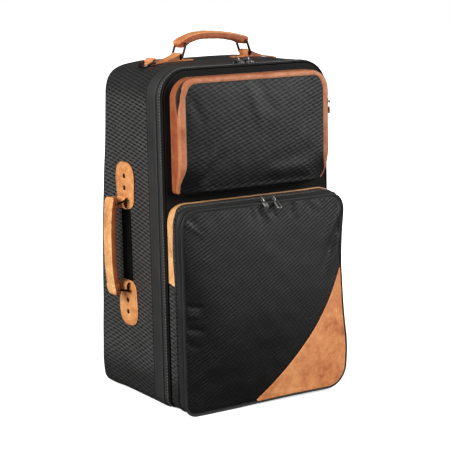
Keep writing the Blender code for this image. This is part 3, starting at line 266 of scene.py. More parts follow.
def part_of(path, keep):
    """The points of a closed outline that a mask keeps, turned to start after its gap."""
    places, normals, _ = path
    places, normals, keep = places[:-1], normals[:-1], keep[:-1]
    start = 0
    if keep[0] and keep[-1]:
        start = np.flatnonzero(~keep)[-1] + 1
    order = np.roll(np.arange(len(places)), -start)
    order = order[keep[order]]
    return places[order], normals[order], run_along(places[order])


def outward(path):
    """The outline's outward normals as directions in space."""
    return at_depth(path[1], 0.0)


def table(value):
    """A list of one value per row as a column, ready to meet the points of each row."""
    value = np.asarray(value, dtype=float)
    return value[:, None] if value.ndim == 1 else value


def rows_at(path, inset, y):
    """Rows of points: the outline drawn in along its normals by inset, at depth y."""
    places, normals, _ = path
    inset, y = np.broadcast_arrays(table(inset), table(y))
    return at_depth(places[None] - normals[None] * inset[..., None], y)


def line_at(path, inset, y):
    """One row of points: the outline drawn in by inset, at depth y."""
    return rows_at(path, [inset], [y])[0]


def inner_rings(path, inset, shares):
    """Rings M + (P - n inset - M) share, from an outline towards its middle M."""
    places, normals, _ = path
    edge = places - normals * np.broadcast_to(inset, (len(places),))[:, None]
    middle = (edge.min(axis=0) + edge.max(axis=0)) / 2
    return middle + (edge - middle)[None] * np.asarray(shares)[:, None, None]


def side_uv(rows, along):
    """Texture places in metres: distance across the rows, and distance along the outline."""
    gaps = np.linalg.norm(np.diff(rows, axis=0), axis=2).mean(axis=1)
    across = np.concatenate([[0], np.cumsum(gaps)])
    return together(across[:, None], along[None])


def flat_uv(points):
    return np.stack([points[..., 0], points[..., 2]], axis=-1)


def rim_uv(points, reach=0.0011, rows=True, columns=False):
    """exp(-(distance to the nearest edge) / reach): 1 on a strip's rim and near 0 inside."""
    nearest = np.full(points.shape[:2], 1.0)
    for axis, wanted in ((0, rows), (1, columns)):
        if wanted:
            gaps = np.linalg.norm(np.diff(points, axis=axis), axis=2)
            along = np.concatenate([np.zeros_like(gaps.take([0], axis)), np.cumsum(gaps, axis)],
                                   axis)
            nearest = np.minimum(nearest, np.minimum(along, along.take([-1], axis) - along))
    return np.stack([np.exp(-nearest / reach), np.zeros(points.shape[:2])], axis=-1)


def unit(vectors):
    return vectors / np.maximum(np.linalg.norm(vectors, axis=-1, keepdims=True), 1e-12)


def smooth_step(value, low, high):
    """3 t² - 2 t³ between low and high, 0 before and 1 after."""
    share = np.clip((value - low) / (high - low), 0, 1)
    return share * share * (3 - 2 * share)


def bell(value, middle, width):
    """exp(-((value - middle) / width)²)"""
    return np.exp(-((value - middle) / width) ** 2)


def blunt(value, power):
    """sign(v) |v|^power, which squares a circle off where v is its sine or cosine."""
    return np.sign(value) * np.abs(value) ** power


def ripples(u, v, size, seed, stretch=1.0, count=10):
    """Soft random relief between about -1 and 1: a sum of cos(2 pi (a u + b v) + c).

    The waves have lengths near size, and stretch makes them longer along v.
    """
    draw = np.random.default_rng(seed)
    total = 0.0
    for turn, rate, phase in zip(draw.uniform(0, math.pi, count), draw.uniform(0.6, 1.5, count),
                                 draw.uniform(0, TURN, count)):
        a, b = math.cos(turn) * rate / size, math.sin(turn) * rate / size / stretch
        total = total + np.cos(TURN * (a * u + b * v) + phase)
    return total / math.sqrt(count * 2)


def crease(u, v, start, end, width, height):
    """Ridge along a line: height exp(-(distance / width)²), dying away at both ends."""
    line = np.array(end) - np.array(start)
    length = np.linalg.norm(line)
    line = line / length
    share = ((u - start[0]) * line[0] + (v - start[1]) * line[1]) / length
    off = (u - start[0]) * line[1] - (v - start[1]) * line[0]
    beyond = np.maximum(np.abs(share - 0.5) - 0.30, 0) / 0.22
    return height * np.exp(-(off / width) ** 2 - beyond ** 2)


def spaced(points, pitch, shift=0.0):
    """Evenly spaced places on a line of points, and the direction at each."""
    along = run_along(points)
    count = max(1, int(along[-1] / pitch))
    at = (np.arange(count) + 0.5 + shift) * along[-1] / count
    at = at[at < along[-1]]
    ahead, behind = (sample(at + step, along, points) for step in (0.0006, -0.0006))
    return sample(at, along, points), unit(ahead - behind)


def tube_rows(points, radius, up, sides=10, closed=False):
    """Tube: rows C + r (cos a side + sin a lift).

    The side is direction x up, and the lift is side x direction.
    """
    if closed:
        ring = points[:-1]
        forward = np.roll(ring, -1, axis=0) - np.roll(ring, 1, axis=0)
        forward = np.concatenate([forward, forward[:1]])
    else:
        forward = np.gradient(points, axis=0)
    forward = unit(forward)
    side = unit(np.cross(forward, np.broadcast_to(up, points.shape)))
    lift = np.cross(side, forward)
    angle = np.linspace(0, TURN, sides + 1)
    radius = np.broadcast_to(radius, (len(points),))[:, None, None]
    rows = (points[:, None] + radius * (np.cos(angle)[None, :, None] * side[:, None]
                                        + np.sin(angle)[None, :, None] * lift[:, None]))
    if not closed:
        first = np.repeat(points[:1, None], sides + 1, axis=1)
        last = np.repeat(points[-1:, None], sides + 1, axis=1)
        rows = np.concatenate([first, rows, last])
    return rows


def cord_rows(path, inset, y, radius, sides=12):
    """Piping: a closed tube along the outline drawn in by inset, at depth y."""
    return tube_rows(line_at(path, inset, y), radius, (0, 1, 0), sides, True)


def rounded_loop(corners, radii):
    """Closed loop through corners, each rounded by an arc of its own radius."""
    corners = [np.asarray(corner, dtype=float) for corner in corners]
    points = []
    for index, corner in enumerate(corners):
        before = unit(corners[index - 1] - corner)
        after = unit(corners[(index + 1) % len(corners)] - corner)
        half = math.acos(np.clip(before @ after, -1, 1)) / 2
        centre = corner + unit(before + after) * radii[index] / math.sin(half)
        start = corner + before * radii[index] / math.tan(half) - centre
        end = corner + after * radii[index] / math.tan(half) - centre
        turn = math.atan2(start[0] * end[1] - start[1] * end[0], start @ end)
        angle = math.atan2(start[1], start[0]) + np.linspace(0, turn, 9)
        points.append(centre + radii[index] * np.stack([np.cos(angle), np.sin(angle)], axis=1))
    loop = np.concatenate(points)
    return np.concatenate([loop, loop[:1]])


def thinned(points):
    """A line of points without those that repeat the one before."""
    return points[np.concatenate([[True], np.linalg.norm(np.diff(points, axis=0), axis=1) > 1e-6])]


def bead(length, width, height, rings=5, sides=6):
    """Small rounded bar along X: sections shrink to a point at both ends."""
    share = np.linspace(-1, 1, rings)
    swell = np.sqrt(np.clip(1 - np.abs(share) ** 3, 0, 1))
    angle = np.arange(sides) * TURN / sides
    points = np.stack([np.repeat(share[:, None] * length / 2, sides, axis=1),
                       swell[:, None] * np.cos(angle)[None] * width / 2,
                       swell[:, None] * np.sin(angle)[None] * height / 2], axis=-1)
    index = np.arange(rings * sides).reshape(rings, sides)
    beside = np.roll(index, -1, axis=1)
    faces = np.stack([index[:-1], beside[:-1], beside[1:], index[1:]], axis=-1)
    return points.reshape(-1, 3), faces.reshape(-1, 4)


class Piece:
    """Grids and small repeated shapes that together make one mesh object."""

    def __init__(self, name, *finishes):
        self.name = name
        self.finishes = finishes
        self.points, self.faces, self.places, self.slots = [], [], [], []
        self.count = 0

    def add(self, points, faces, places, slot):
        self.points.append(points.reshape(-1, 3))
        self.faces.append(faces + self.count)
        self.places.append(places)
        self.slots.append(np.full(len(faces), slot))
        self.count += len(self.points[-1])

    def grid(self, points, uv=None, slot=0):
        """Quads between neighbours of a grid of points; uv gives texture places in metres."""
        rows, columns = points.shape[:2]
        index = np.arange(rows * columns).reshape(rows, columns)
        faces = np.stack([index[:-1, :-1], index[:-1, 1:], index[1:, 1:], index[1:, :-1]],
                         axis=-1).reshape(-1, 4)
        if uv is None:
            across, along = (np.concatenate([[0], np.cumsum(np.linalg.norm(np.diff(
                points, axis=axis), axis=2).max(axis=1 - axis))]) for axis in (0, 1))
            uv = together(across[:, None], along[None])
        self.add(points, faces, uv.reshape(-1, 2)[faces], slot)

    def slab(self, outer, inner, uv=None, slot=0, edge_slot=None):
        """Closed body between two grids of the same shape, joined round their open edges."""
        edge_slot = slot if edge_slot is None else edge_slot
        self.grid(outer, uv, slot)
        self.grid(inner, uv, slot)
        edges = [(outer[0], inner[0]), (outer[-1], inner[-1])]
        if not np.allclose(outer[:, 0], outer[:, -1], atol=1e-7):
            edges += [(outer[:, 0], inner[:, 0]), (outer[:, -1], inner[:, -1])]
        for near, far in edges:
            if np.ptp(near, axis=0).max() > 1e-7:
                self.grid(np.stack([near, far]), None, edge_slot)

    def stamp(self, shape, places, axes, slot=0):
        """Copies of a small shape: P = place + axes p, where axes holds x, y and z in columns."""
        points, faces = shape
        copies = places[:, None] + np.einsum("kij,vj->kvi", axes, points)
        quads = faces[None] + (np.arange(len(places)) * len(points))[:, None, None]
        quads = quads.reshape(-1, 4)
        self.add(copies, quads, np.zeros((len(quads), 4, 2)), slot)

    def stitches(self, line, up, pitch, slot, size=STITCH):
        """A row of stitches along a line of points, lying on a surface that faces up."""
        places, forward = spaced(line, pitch)
        along, at = np.linspace(0, 1, len(line)), np.linspace(0, 1, len(places))
        up = unit(sample(at, along, np.broadcast_to(up, line.shape)))
        side = unit(np.cross(up, forward))
        axes = np.stack([forward, side, np.cross(forward, side)], axis=-1)
        self.stamp(bead(*size), places, axes, slot)

    def teeth(self, zips, line, out, shift, slot=0):
        """Zip teeth along a line: each reaches across the zip, and out is where they face."""
        places, forward = spaced(line, zips.pitch, shift)
        along, at = np.linspace(0, 1, len(line)), np.linspace(0, 1, len(places))
        facing = unit(sample(at, along, out))
        across = unit(np.cross(facing, forward))
        axes = np.stack([across, forward, facing], axis=-1)
        self.stamp(bead(zips.tooth, 0.0010, 0.0014), places, axes, slot)

    def finish(self, body=None, replaces=(), slot=None, blend=None, bend=None):
        """Make the mesh, close its seams, face it outwards and tie it to its body."""
        points = np.concatenate(self.points)
        if bend:
            points = bend(points)
        faces = np.concatenate(self.faces)
        mesh = bpy.data.meshes.new(self.name)
        mesh.vertices.add(len(points))
        mesh.vertices.foreach_set("co", points.ravel())
        mesh.loops.add(faces.size)
        mesh.loops.foreach_set("vertex_index", faces.ravel().astype(np.int32))
        mesh.polygons.add(len(faces))
        mesh.polygons.foreach_set("loop_start", np.arange(0, faces.size, 4, dtype=np.int32))
        for finish in self.finishes:
            mesh.materials.append(surface(finish))
        mesh.polygons.foreach_set("material_index", np.concatenate(self.slots).astype(np.int32))
        layer = mesh.uv_layers.new(name="UVMap")
        layer.data.foreach_set("uv", np.concatenate(self.places).ravel())
        mesh.update(calc_edges=True)
        mesh.validate()
        work = bmesh.new()
        work.from_mesh(mesh)
        bmesh.ops.remove_doubles(work, verts=work.verts, dist=WELD_DISTANCE)
        bmesh.ops.recalc_face_normals(work, faces=work.faces)
        work.to_mesh(mesh)
        work.free()
        mesh.shade_smooth()
        mesh.set_sharp_from_angle(angle=SHARP_ANGLE)
        made = bpy.data.objects.new(self.name, mesh)
        bpy.context.scene.collection.objects.link(made)
        if blend:
            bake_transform(made)
        else:
            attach(made, body)
        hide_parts(*replaces)
        return made


# Nodes

class Signal:
    """An output in a node tree; sums, products and differences of it add Math nodes."""

    def __init__(self, tree, socket):
        self.tree, self.socket = tree, socket

    def calc(self, operation, *others):
        inputs = dict(enumerate((self, *others)))
        return put(self.tree, "Math", inputs, operation=operation)[0]

    def __add__(self, other):
        return self.calc("ADD", other)

    def __mul__(self, other):
        return self.calc("MULTIPLY", other)

    def __rsub__(self, other):
        return put(self.tree, "Math", {0: other, 1: self}, operation="SUBTRACT")[0]

    __radd__, __rmul__ = __add__, __mul__

    def wave(self, rate=TURN):
        """cos(rate value)"""
        return (self * rate).calc("COSINE")

    def stretch(self, low, high, new_low=0.0, new_high=1.0):
        """Map Range with a smooth step."""
        return put(self.tree, "MapRange", {0: self, 1: low, 2: high, 3: new_low, 4: new_high},
                   interpolation_type="SMOOTHSTEP")[0]

    def mix(self, low, high):
        """Mix of two colours by this factor, given as signals or as red, green and blue."""
        low, high = (value if isinstance(value, Signal) else (*value, 1.0)
                     for value in (low, high))
        return put(self.tree, "Mix", {0: self, 6: low, 7: high}, data_type="RGBA")[2]

    def split(self):
        """The X, Y and Z of a vector."""
        return put(self.tree, "SeparateXYZ", {0: self})


class Outputs:
    """The outputs of a node, by name or by number, as signals."""

    def __init__(self, tree, sockets):
        self.tree, self.sockets = tree, sockets

    def __getitem__(self, key):
        return Signal(self.tree, self.sockets[key])


def feed(socket, value):
    """Link a signal to an input, or set the input to a value."""
    if isinstance(value, Signal):
        value.tree.links.new(value.socket, socket)
    else:
        socket.default_value = value


def put(tree, kind, inputs=None, **settings):
    """Add a node, set its settings, feed its inputs, and give its outputs."""
    node = tree.nodes.new("ShaderNode" + kind)
    for key, value in settings.items():
        setattr(node, key, value)
    for key, value in (inputs or {}).items():
        feed(node.inputs[key], value)
    return Outputs(tree, node.outputs)


def noise(place, scale, detail, **inputs):
    inputs.update(Vector=place, Scale=scale, Detail=detail)
    return put(place.tree, "TexNoise", inputs)


def dash_weave(place, given):
    """Woven cloth: light where (1 - c) cos(2 pi thread) + c cos(2 pi cross) is high."""
    tree = place.tree
    waver = noise(place, 70.0, 2.0)["Color"]
    shift = put(tree, "VectorMath", {0: waver, 1: (0.5, 0.5, 0.5)}, operation="SUBTRACT")[0]
    shift = put(tree, "VectorMath", {0: shift, "Scale": 0.0022}, operation="SCALE")[0]
    moved = put(tree, "VectorMath", {0: place, 1: shift}, operation="ADD")[0].split()
    across, upward = moved[0], moved[1]
    thread = (across * given["Thread Run"] + upward * given["Thread Rise"]).wave()
    cross = (across * given["Cross Run"] + upward * given["Cross Rise"]).wave()
    mask = (thread * (1.0 - given["Cross"]) + cross * given["Cross"]).stretch(-0.75, 0.55)
    fine = ((across * given["Yarn"]).wave() + (upward * given["Yarn"]).wave()) * 0.09
    return {"Float Mask": mask, "Height": mask + fine, "Tone": noise(place, 23.0, 3.0)[0]}


def leather_grain(place, given):
    """Leather grain: pebbles from cell distances, soft patches, and fine scratches."""
    cells = put(place.tree, "TexVoronoi", {"Vector": place, "Scale": given["Pebble"]},
                feature="F1")
    patches = noise(place, given["Patch"], 5.0, Roughness=0.58, Distortion=0.6)[0]
    small = noise(place, 130.0, 3.0, Distortion=0.8)[0]
    fine = noise(place, 420.0, 4.0)[0]
    return {"Patches": patches * 0.65 + small * 0.35,
            "Height": (1.0 - cells["Distance"]) * 0.55 + fine * 0.6,
            "Pores": fine.stretch(0.56, 0.72)}


def soft_wear(place, given):
    """Wear and dust: broad soft patches, and fine specks."""
    return {"Patches": noise(place, given["Patch"], 4.0, Roughness=0.6)[0].stretch(0.3, 0.7),
            "Specks": noise(place, given["Speck"], 2.0)[0].stretch(0.55, 0.75)}


# The numbers that each shared node group takes, besides a place, and their usual values
GROUP_INPUTS = {
    dash_weave: {"Thread Run": -58.0, "Thread Rise": 160.0, "Cross Run": 80.0,
                 "Cross Rise": 90.0, "Cross": 0.4, "Yarn": 1350.0},
    leather_grain: {"Pebble": 1100.0, "Patch": 34.0},
    soft_wear: {"Patch": 9.0, "Speck": 900.0},
}


def new_group(build):
    """A node group whose outputs a function works out from a place and numbers."""
    group = bpy.data.node_groups.new(build.__name__, "ShaderNodeTree")
    group.interface.new_socket("Vector", in_out="INPUT", socket_type="NodeSocketVector")
    for label, default in GROUP_INPUTS[build].items():
        socket = group.interface.new_socket(label, in_out="INPUT", socket_type="NodeSocketFloat")
        socket.default_value = default
    given = Outputs(group, group.nodes.new("NodeGroupInput").outputs)
    made = build(given["Vector"], given)
    for label in made:
        group.interface.new_socket(label, in_out="OUTPUT", socket_type="NodeSocketFloat")
    wanted = group.nodes.new("NodeGroupOutput").inputs
    for label, value in made.items():
        feed(wanted[label], value)
    return group


def use(build, place, **numbers):
    """A node of a shared group, which is made once; gives its outputs."""
    group = bpy.data.node_groups.get(build.__name__) or new_group(build)
    numbers = {key.replace("_", " "): value for key, value in numbers.items()}
    return put(place.tree, "Group", {"Vector": place, **numbers}, node_tree=group)


# Finishes: each function gives what the shader's inputs get, and then the height, strength
# and distance of the bump

# Run and rise of the leading threads, then of the crossing ones, in waves per metre, the
# weight of the crossing ones, the gains of the dark and of the light colour, the share of the
# floats that is left where they are dimmed, and the specular level. The side's gains are
# painted light: the cloth of the fronts, made about three times brighter for the light on
# the case's sides.
WEAVES = {
    "woven_side": (-31.0, 159.0, 54.0, 100.0, 0.34, 1.1, 3.0, 0.35, 0.50),
    "woven_upper": (-58.0, 160.0, 80.0, 90.0, 0.36, 0.35, 1.05, 0.10, 0.26),
    "woven_lower": (-98.0, 160.0, 112.0, 90.0, 0.24, 0.35, 1.0, 0.08, 0.26),
}


def woven(name, uv, place, colours):
    """Coarse woven cloth: pale floats over a dark ground, weaker near the case's ends on the
    side, and dimmed towards the bottom and the left of the pockets' fronts as painted shade.
    """
    run, rise, cross_run, cross_rise, cross, dark, light, least, specular = WEAVES[name]
    weave = use(dash_weave, uv, Thread_Run=run, Thread_Rise=rise, Cross_Run=cross_run,
                Cross_Rise=cross_rise, Cross=cross)
    split = place.split()
    across, height = split[0], split[2]
    wear = use(soft_wear, place)
    if name == "woven_side":
        fade_and_painted_shade = height.stretch(0.030, 0.075) * height.stretch(0.530, 0.498)
    elif name == "woven_lower":
        # painted shade: the lower front's floats dim towards its bottom and its left
        fade_and_painted_shade = height.stretch(0.10, 0.21) * (across + height * 0.35).stretch(-0.075, -0.020)
    else:
        # painted shade: the upper front's floats dim towards its bottom and its left
        fade_and_painted_shade = height.stretch(0.372, 0.425) * across.stretch(-0.170, -0.010, 0.35, 1.0)
    shown = weave["Float Mask"] * (0.55 + weave["Tone"] * 0.7) * (least + fade_and_painted_shade * (1 - least))
    colour = shown.mix([value * dark for value in colours.woven_dark],
                       [value * light for value in colours.woven_light])
    return {"Base Color": (wear["Patches"] * 0.02).mix(colour, (0.055, 0.052, 0.050)),
            "Roughness": 0.46 - weave["Float Mask"] * 0.10,
            "Specular IOR Level": specular}, (weave["Height"], 0.7, 0.0005)


# Ribs across and along, in waves per metre, shade of the tape's colour, and specular level.
# The pocket tape's half shade is painted shade under the overhanging upper pocket, the lid
# cloth's deep shade is painted shade on the lid's front round the pockets, and the webbing's
# near-black is its own black with painted shadow of the side grip.
TAPES = {
    "smooth_tape": (900.0, 900.0, 1.0, 0.40), "pocket_tape": (900.0, 900.0, 0.5, 0.30),
    "piping_cloth": (500.0, 700.0, 0.55, 0.35), "webbing_weave": (620.0, 260.0, 0.10, 0.08),
    "lid_cloth": (420.0, 420.0, 0.14, 0.12),
}


def tape(name, uv, place, colours):
    """Smooth close-woven tape or piping cover: very fine ribs across and along."""
    across, along, shade, specular = TAPES[name]
    ribs = uv.split()
    height = ribs[0].wave(TURN * across) + ribs[1].wave(TURN * along)
    wear = use(soft_wear, place, Patch=16.0)
    base = [value * shade for value in colours.tape]
    lighter = [value * 1.6 * shade + 0.002 for value in colours.tape]
    pale = height.stretch(-1.0, 2.0, 0.0, 0.6).mix(base, lighter)
    return {"Base Color": (wear["Patches"] * 0.05).mix(pale, (0.06, 0.058, 0.056)),
            "Roughness": 0.50 + wear["Patches"] * 0.18,
            "Specular IOR Level": specular}, (height, 0.35, 0.00012)


# Each leather as shares of the red, green and blue of the leather's colours. The band's low
# shares are partly painted shade, for the band's right part out of the light; the grips'
# narrow sides are darker by edge stain and painted shade; the pale shares are the trim's paler
# leather, and on the side grip painted light on the face towards the key light.
LEATHERS = {
    "tan_leather": (1.0, 1.0, 1.0), "leather_pale": (1.16, 1.60, 1.75),
    "leather_plate": (1.05, 1.21, 1.18), "leather_band": (0.66, 0.63, 0.76),
    "leather_red": (0.46, 0.31, 0.30), "leather_side": (0.50, 0.34, 0.28),
    "leather_edge": (0.48, 0.42, 0.40), "leather_rim": (1.15, 1.25, 1.30),
}


def leather(name, uv, place, colours):
    """Tan leather: mottled patches, pebble grain, darker pores and a pale rim."""
    grain = use(leather_grain, place)
    wear = use(soft_wear, place, Patch=60.0, Speck=1500.0)
    light, middle, dark = [
        [min(value * share, 0.92) for value, share in zip(tone, LEATHERS[name])]
        for tone in (colours.leather_light, colours.leather_mid, colours.leather_dark)]
    shade = grain["Patches"].stretch(0.28, 0.50).mix(dark, middle)
    shade = grain["Patches"].stretch(0.44, 0.68).mix(shade, light)
    shade = (grain["Pores"] * 0.30).mix(shade, dark)
    shade = (wear["Specks"] * 0.12).mix(shade, light)
    pale = [min(value * 1.25 + 0.05, 0.95) for value in light]
    shade = uv.split()[0].stretch(0.45, 0.95, 0.0, 0.75).mix(shade, pale)
    return {"Base Color": shade, "Roughness": 0.40 + wear["Patches"] * 0.20,
            "Specular IOR Level": 0.30}, (grain["Height"], 0.30, 0.00030)


def thread(name, uv, place, colours):
    """Sewing thread: two plies twisted round each other, seen as slanted ribs."""
    shade = {"tan_thread": colours.thread, "pale_thread": colours.pale_thread,
             "black_thread": (0.012, 0.012, 0.012)}[name]
    twist = put(place.tree, "TexWave", {"Vector": place, "Scale": 700.0, "Distortion": 1.0},
                bands_direction="DIAGONAL")[1]
    return {"Base Color": twist.mix([value * 0.6 for value in shade], shade),
            "Roughness": 0.6}, (twist, 0.4, 0.0001)


def metal(name, uv, place, colours):
    """Metal fittings: base colour with duller, darker patches where hands and cloth rub."""
    shade, rough, metallic = {
        "dark_bronze": ((0.045, 0.026, 0.018), 0.36, 1.0),
        "black_metal": ((0.007, 0.007, 0.008), 0.42, 0.15),
        "nickel": (tuple(colours.nickel), 0.32, 1.0),
        "smoky_nickel": ((0.12, 0.095, 0.085), 0.28, 1.0),
        "zip_teeth": ((0.016, 0.016, 0.017), 0.36, 0.0)}[name]
    wear = use(soft_wear, place, Patch=140.0, Speck=2400.0)
    worn = wear["Patches"].mix([value * 0.62 for value in shade], shade)
    bright = [min(value * 1.5 + 0.03, 0.9) for value in shade]
    return {"Base Color": (wear["Specks"] * 0.35).mix(worn, bright),
            "Roughness": rough - 0.06 + wear["Patches"] * 0.16,
            "Metallic": metallic}, (wear["Specks"], 0.12, 0.0001)


def plush(name, uv, place, colours):
    """Short-pile plush: soft mottled nap with a sheen."""
    nap = noise(place, 1300.0, 3.0)[0]
    brushed = noise(place, 38.0, 3.0, Distortion=1.2)[0]
    lighter = [value * (2.6 if name == "padding_plush" else 2.0) for value in colours.plush]
    return {"Base Color": (nap * 0.6 + brushed * 0.5).mix(colours.plush, lighter),
            "Roughness": 0.95, "Sheen Weight": 0.55, "Sheen Roughness": 0.45}, (nap, 0.6, 0.0006)


MAKERS = {
    **dict.fromkeys(WEAVES, woven), **dict.fromkeys(TAPES, tape),
    **dict.fromkeys(LEATHERS, leather),
    **dict.fromkeys(("tan_thread", "pale_thread", "black_thread"), thread),
    **dict.fromkeys(("dark_bronze", "black_metal", "nickel", "smoky_nickel", "zip_teeth"), metal),
    **dict.fromkeys(("lining_plush", "padding_plush"), plush),
}


def surface(name):
    """The material of a finish, made once."""
    made = bpy.data.materials.get("case_" + name)
    if made:
        return made
    made = bpy.data.materials.new("case_" + name)
    made.use_nodes = True
    tree = made.node_tree
    shader = tree.nodes["Principled BSDF"]
    places = put(tree, "TexCoord")
    looks, (height, strength, distance) = MAKERS[name](
        name, places["UV"], places["Object"], bpy.context.scene.case_finishes)
    looks["Normal"] = put(tree, "Bump", {"Height": height, "Strength": strength,
                                         "Distance": distance})[0]
    for key, value in looks.items():
        feed(shader.inputs[key], value)
    return made


# Tub

def back_y(sizes, z):
    """Y of the leaning back at height z."""
    return sizes.base_half - sizes.lean * z


def tray(sizes, path, inset, wall, rim_y, sink, rows=16):
    """Rows of an open tray, outer then inner: back middle, rounded edge, side, rim.

    The back edge is the arc (R (1 - cos a), R (1 - sin a)) between the side and the back.
    """
    halves = []
    for extra in (0.0, wall):
        radius = sizes.back_edge - inset - extra
        drop = sink + extra
        rings = inner_rings(path, inset + extra + radius, np.linspace(0, 1, 14)[:-1])
        back = at_depth(rings, back_y(sizes, rings[..., 1]) - drop)
        angle = np.linspace(QUARTER, 0, 8)
        edge = rows_at(path, inset + extra + radius * (1 - np.cos(angle)), 0.0)
        edge[..., 1] = (back_y(sizes, edge[..., 2]) - drop
                        - radius * (1 - np.sin(angle))[:, None])
        side = rows_at(path, np.full(rows, inset + extra), 0.0)
        share = np.linspace(0, 1, rows)[:, None]
        side[..., 1] = edge[-1:, :, 1] + (rim_y - edge[-1:, :, 1]) * share
        halves.append((back, edge, side[1:]))
    return halves


def soften(points, path, amount):
    """Let the cover dip in between its seams by up to amount, and raise the stuffed top."""
    normals = path[1][None]
    depth = points[..., 1]
    span = smooth_step(depth, COVER_FRONT_Y, COVER_FRONT_Y + 0.03)
    relief = 0.5 + 0.5 * ripples(depth, path[2], 0.085, 4, 1.6)
    tight = 0.5 + 0.5 * ripples(depth, path[2], 0.030, 9, 2.5)
    dip = amount * span * (0.8 * relief + 0.25 * tight)
    points[..., 0] -= normals[..., 0] * dip
    points[..., 2] -= normals[..., 1] * dip * (points[..., 2] > 0.02)
    top = smooth_step(depth, COVER_FRONT_Y, COVER_FRONT_Y + 0.016)
    points[..., 2] += crest(points[..., 0]) * top * (normals[..., 1] > 0.5)
    return points


def fill_out(points):
    """Stuffed rear: x outwards and y back by full(z) rear(y), and fuller top corners."""
    points = points.copy()
    x, y, z = (points[..., axis].copy() for axis in range(3))
    rear = smooth_step(y, 0.050, 0.090)
    full = rear * (1 - 0.85 * smooth_step(z, 0.26, 0.50)) * smooth_step(z, -0.03, 0.05)
    corner = rear * bell(np.abs(x), 0.148, 0.022) * bell(z, 0.548, 0.022)
    way = np.sign(x) * smooth_step(np.abs(x), 0.05, 0.155)
    points[..., 0] += way * (0.0032 * full + 0.0022 * rear + 0.0040 * corner)
    points[..., 1] += 0.0075 * full
    points[..., 2] += 0.0020 * corner
    return points


class CASE_OT_tub(bpy.types.Operator):
    """Make the tub's woven cover, zip band, seam piping and lining"""
    bl_idname = "case.tub"
    bl_label = "Tub"

    def execute(self, context):
        sizes = context.scene.case_sizes
        path = box_path(TUB_BOX, sizes.step)
        self.cover(sizes, path)
        self.band(sizes, path)
        cord = Piece("seam_piping", "piping_cloth")
        cord.grid(cord_rows(path, 0.0010, -0.0637, 0.0010, 8))
        cord.finish("tub", ("tub_seam_piping",), "piping")
        self.lining(sizes)
        return {"FINISHED"}

    def cover(self, sizes, path):
        """Woven outside from the back to the zip band, and a smooth inside."""
        outer, inner = tray(sizes, path, 0.0, sizes.shell_wall, COVER_FRONT_Y, 0.0, 26)
        side = soften(np.concatenate([outer[1], outer[2]]), path, sizes.dent)
        side, outer_back = fill_out(side), fill_out(outer[0])
        cover = Piece("tub_cover", "woven_side", "smooth_tape")
        back = np.concatenate([outer_back, side[:1]])
        cover.grid(back, flat_uv(back))
        cover.grid(side, together(side[..., 1], path[2][None]))
        neck = rows_at(path, [0.0023, 0.0023, sizes.shell_wall],
                       [COVER_FRONT_Y, TUB_RIM_Y, TUB_RIM_Y])
        cover.grid(np.concatenate([side[-1:], neck]), None, 1)
        inner_side = inner[2][::5].copy()
        share = np.linspace(0, 1, len(inner_side))[:, None]
        inner_side[..., 1] += (TUB_RIM_Y - COVER_FRONT_Y) * share
        cover.grid(np.concatenate([inner[0], inner[1], inner_side, neck[-1:]]), None, 1)
        cover.finish("tub", ("tub_shell",), "woven_fabric")

    def band(self, sizes, path):
        """Smooth band behind the zip, drawn in along its three seams."""
        band = Piece("zip_band", "smooth_tape", "black_thread")
        place = np.linspace(0, 1, 28)
        width = BAND_BACK_Y - TUB_RIM_Y
        depth = TUB_RIM_Y + width * place
        swell = 0.00035 * np.sin(math.pi * place) ** 0.5
        for line in (0.10, 0.46, 0.88):
            swell = swell - 0.0006 * bell(place, line, 0.03)
        swell[[0, -1]] = -0.0005
        outside = rows_at(path, -swell, depth)
        band.slab(outside, rows_at(path, 0.002, depth), side_uv(outside, path[2]))
        for line in (0.10, 0.88):
            band.stitches(line_at(path, 0.0003, TUB_RIM_Y + width * line), outward(path),
                          sizes.stitch_pitch, 1, (0.0027, 0.0007, 0.0006))
        band.finish("tub", ("tub_zip_band",), "smooth_tape")

    def lining(self, sizes):
        lining = Piece("tub_lining_plush", "lining_plush")
        path = box_path(TUB_BOX, 0.009)
        outer, inner = tray(sizes, path, 0.0048, sizes.lining_wall, TUB_RIM_Y, 0.0048, 12)
        inside = np.concatenate(inner)
        relief = 0.0004 * ripples(inside[..., 1], path[2], 0.05, 12)
        sides = slice(len(inner[0]), -2)
        inside[sides, :, 1] -= np.abs(relief[sides])
        lining.slab(np.concatenate(outer), inside)
        lining.finish("tub", ("tub_lining",), "lining_plush")


def cushion(sizes, name, block, front_y, crown, radius, sink, edge):
    """Pad: a crowned front that rolls over its edge and runs back to the leaning back.

    Rings shrink as M + (P - M) s, and the front stands out by crown (1 - s⁴).
    """
    path = box_path((*block, radius), 0.0045)
    shares = np.linspace(0, 1, 12)
    round_edge = min(0.006, radius * 0.8)
    rings = inner_rings(path, round_edge, shares)
    nap = 0.0004 * ripples(rings[..., 0], rings[..., 1], 0.03, 21)
    front = at_depth(rings, front_y - crown * (1 - shares ** 4)[:, None]
                     + nap * (1 - shares ** 2)[:, None])
    angle = np.linspace(0, QUARTER, 6)[1:]
    roll = rows_at(path, round_edge * (1 - np.sin(angle)),
                   front_y + round_edge * (1 - np.cos(angle)))
    far = back_y(sizes, path[0][:, 1]) - sink
    share = np.linspace(0, 1, 9)[1:, None]
    start = front_y + round_edge
    pull = 0.0008 * np.sin(math.pi * share)
    rows = rows_at(path, pull, start + (far - edge - start)[None] * share)
    drawn = rows_at(path, [min(edge, radius)], 0.0)
    drawn[..., 1] = back_y(sizes, drawn[..., 2]) - sink
    rings = inner_rings(path, min(edge, radius), np.linspace(1, 0, 4)[1:])
    back = at_depth(rings, back_y(sizes, rings[..., 1]) - sink)
    pad = Piece(name, "padding_plush", "piping_cloth")
    pad.grid(np.concatenate([front, roll, rows, drawn, back]))
    pad.grid(cord_rows(path, 0.0003, start + 0.0015, 0.0011, 8), None, 1)
    return pad


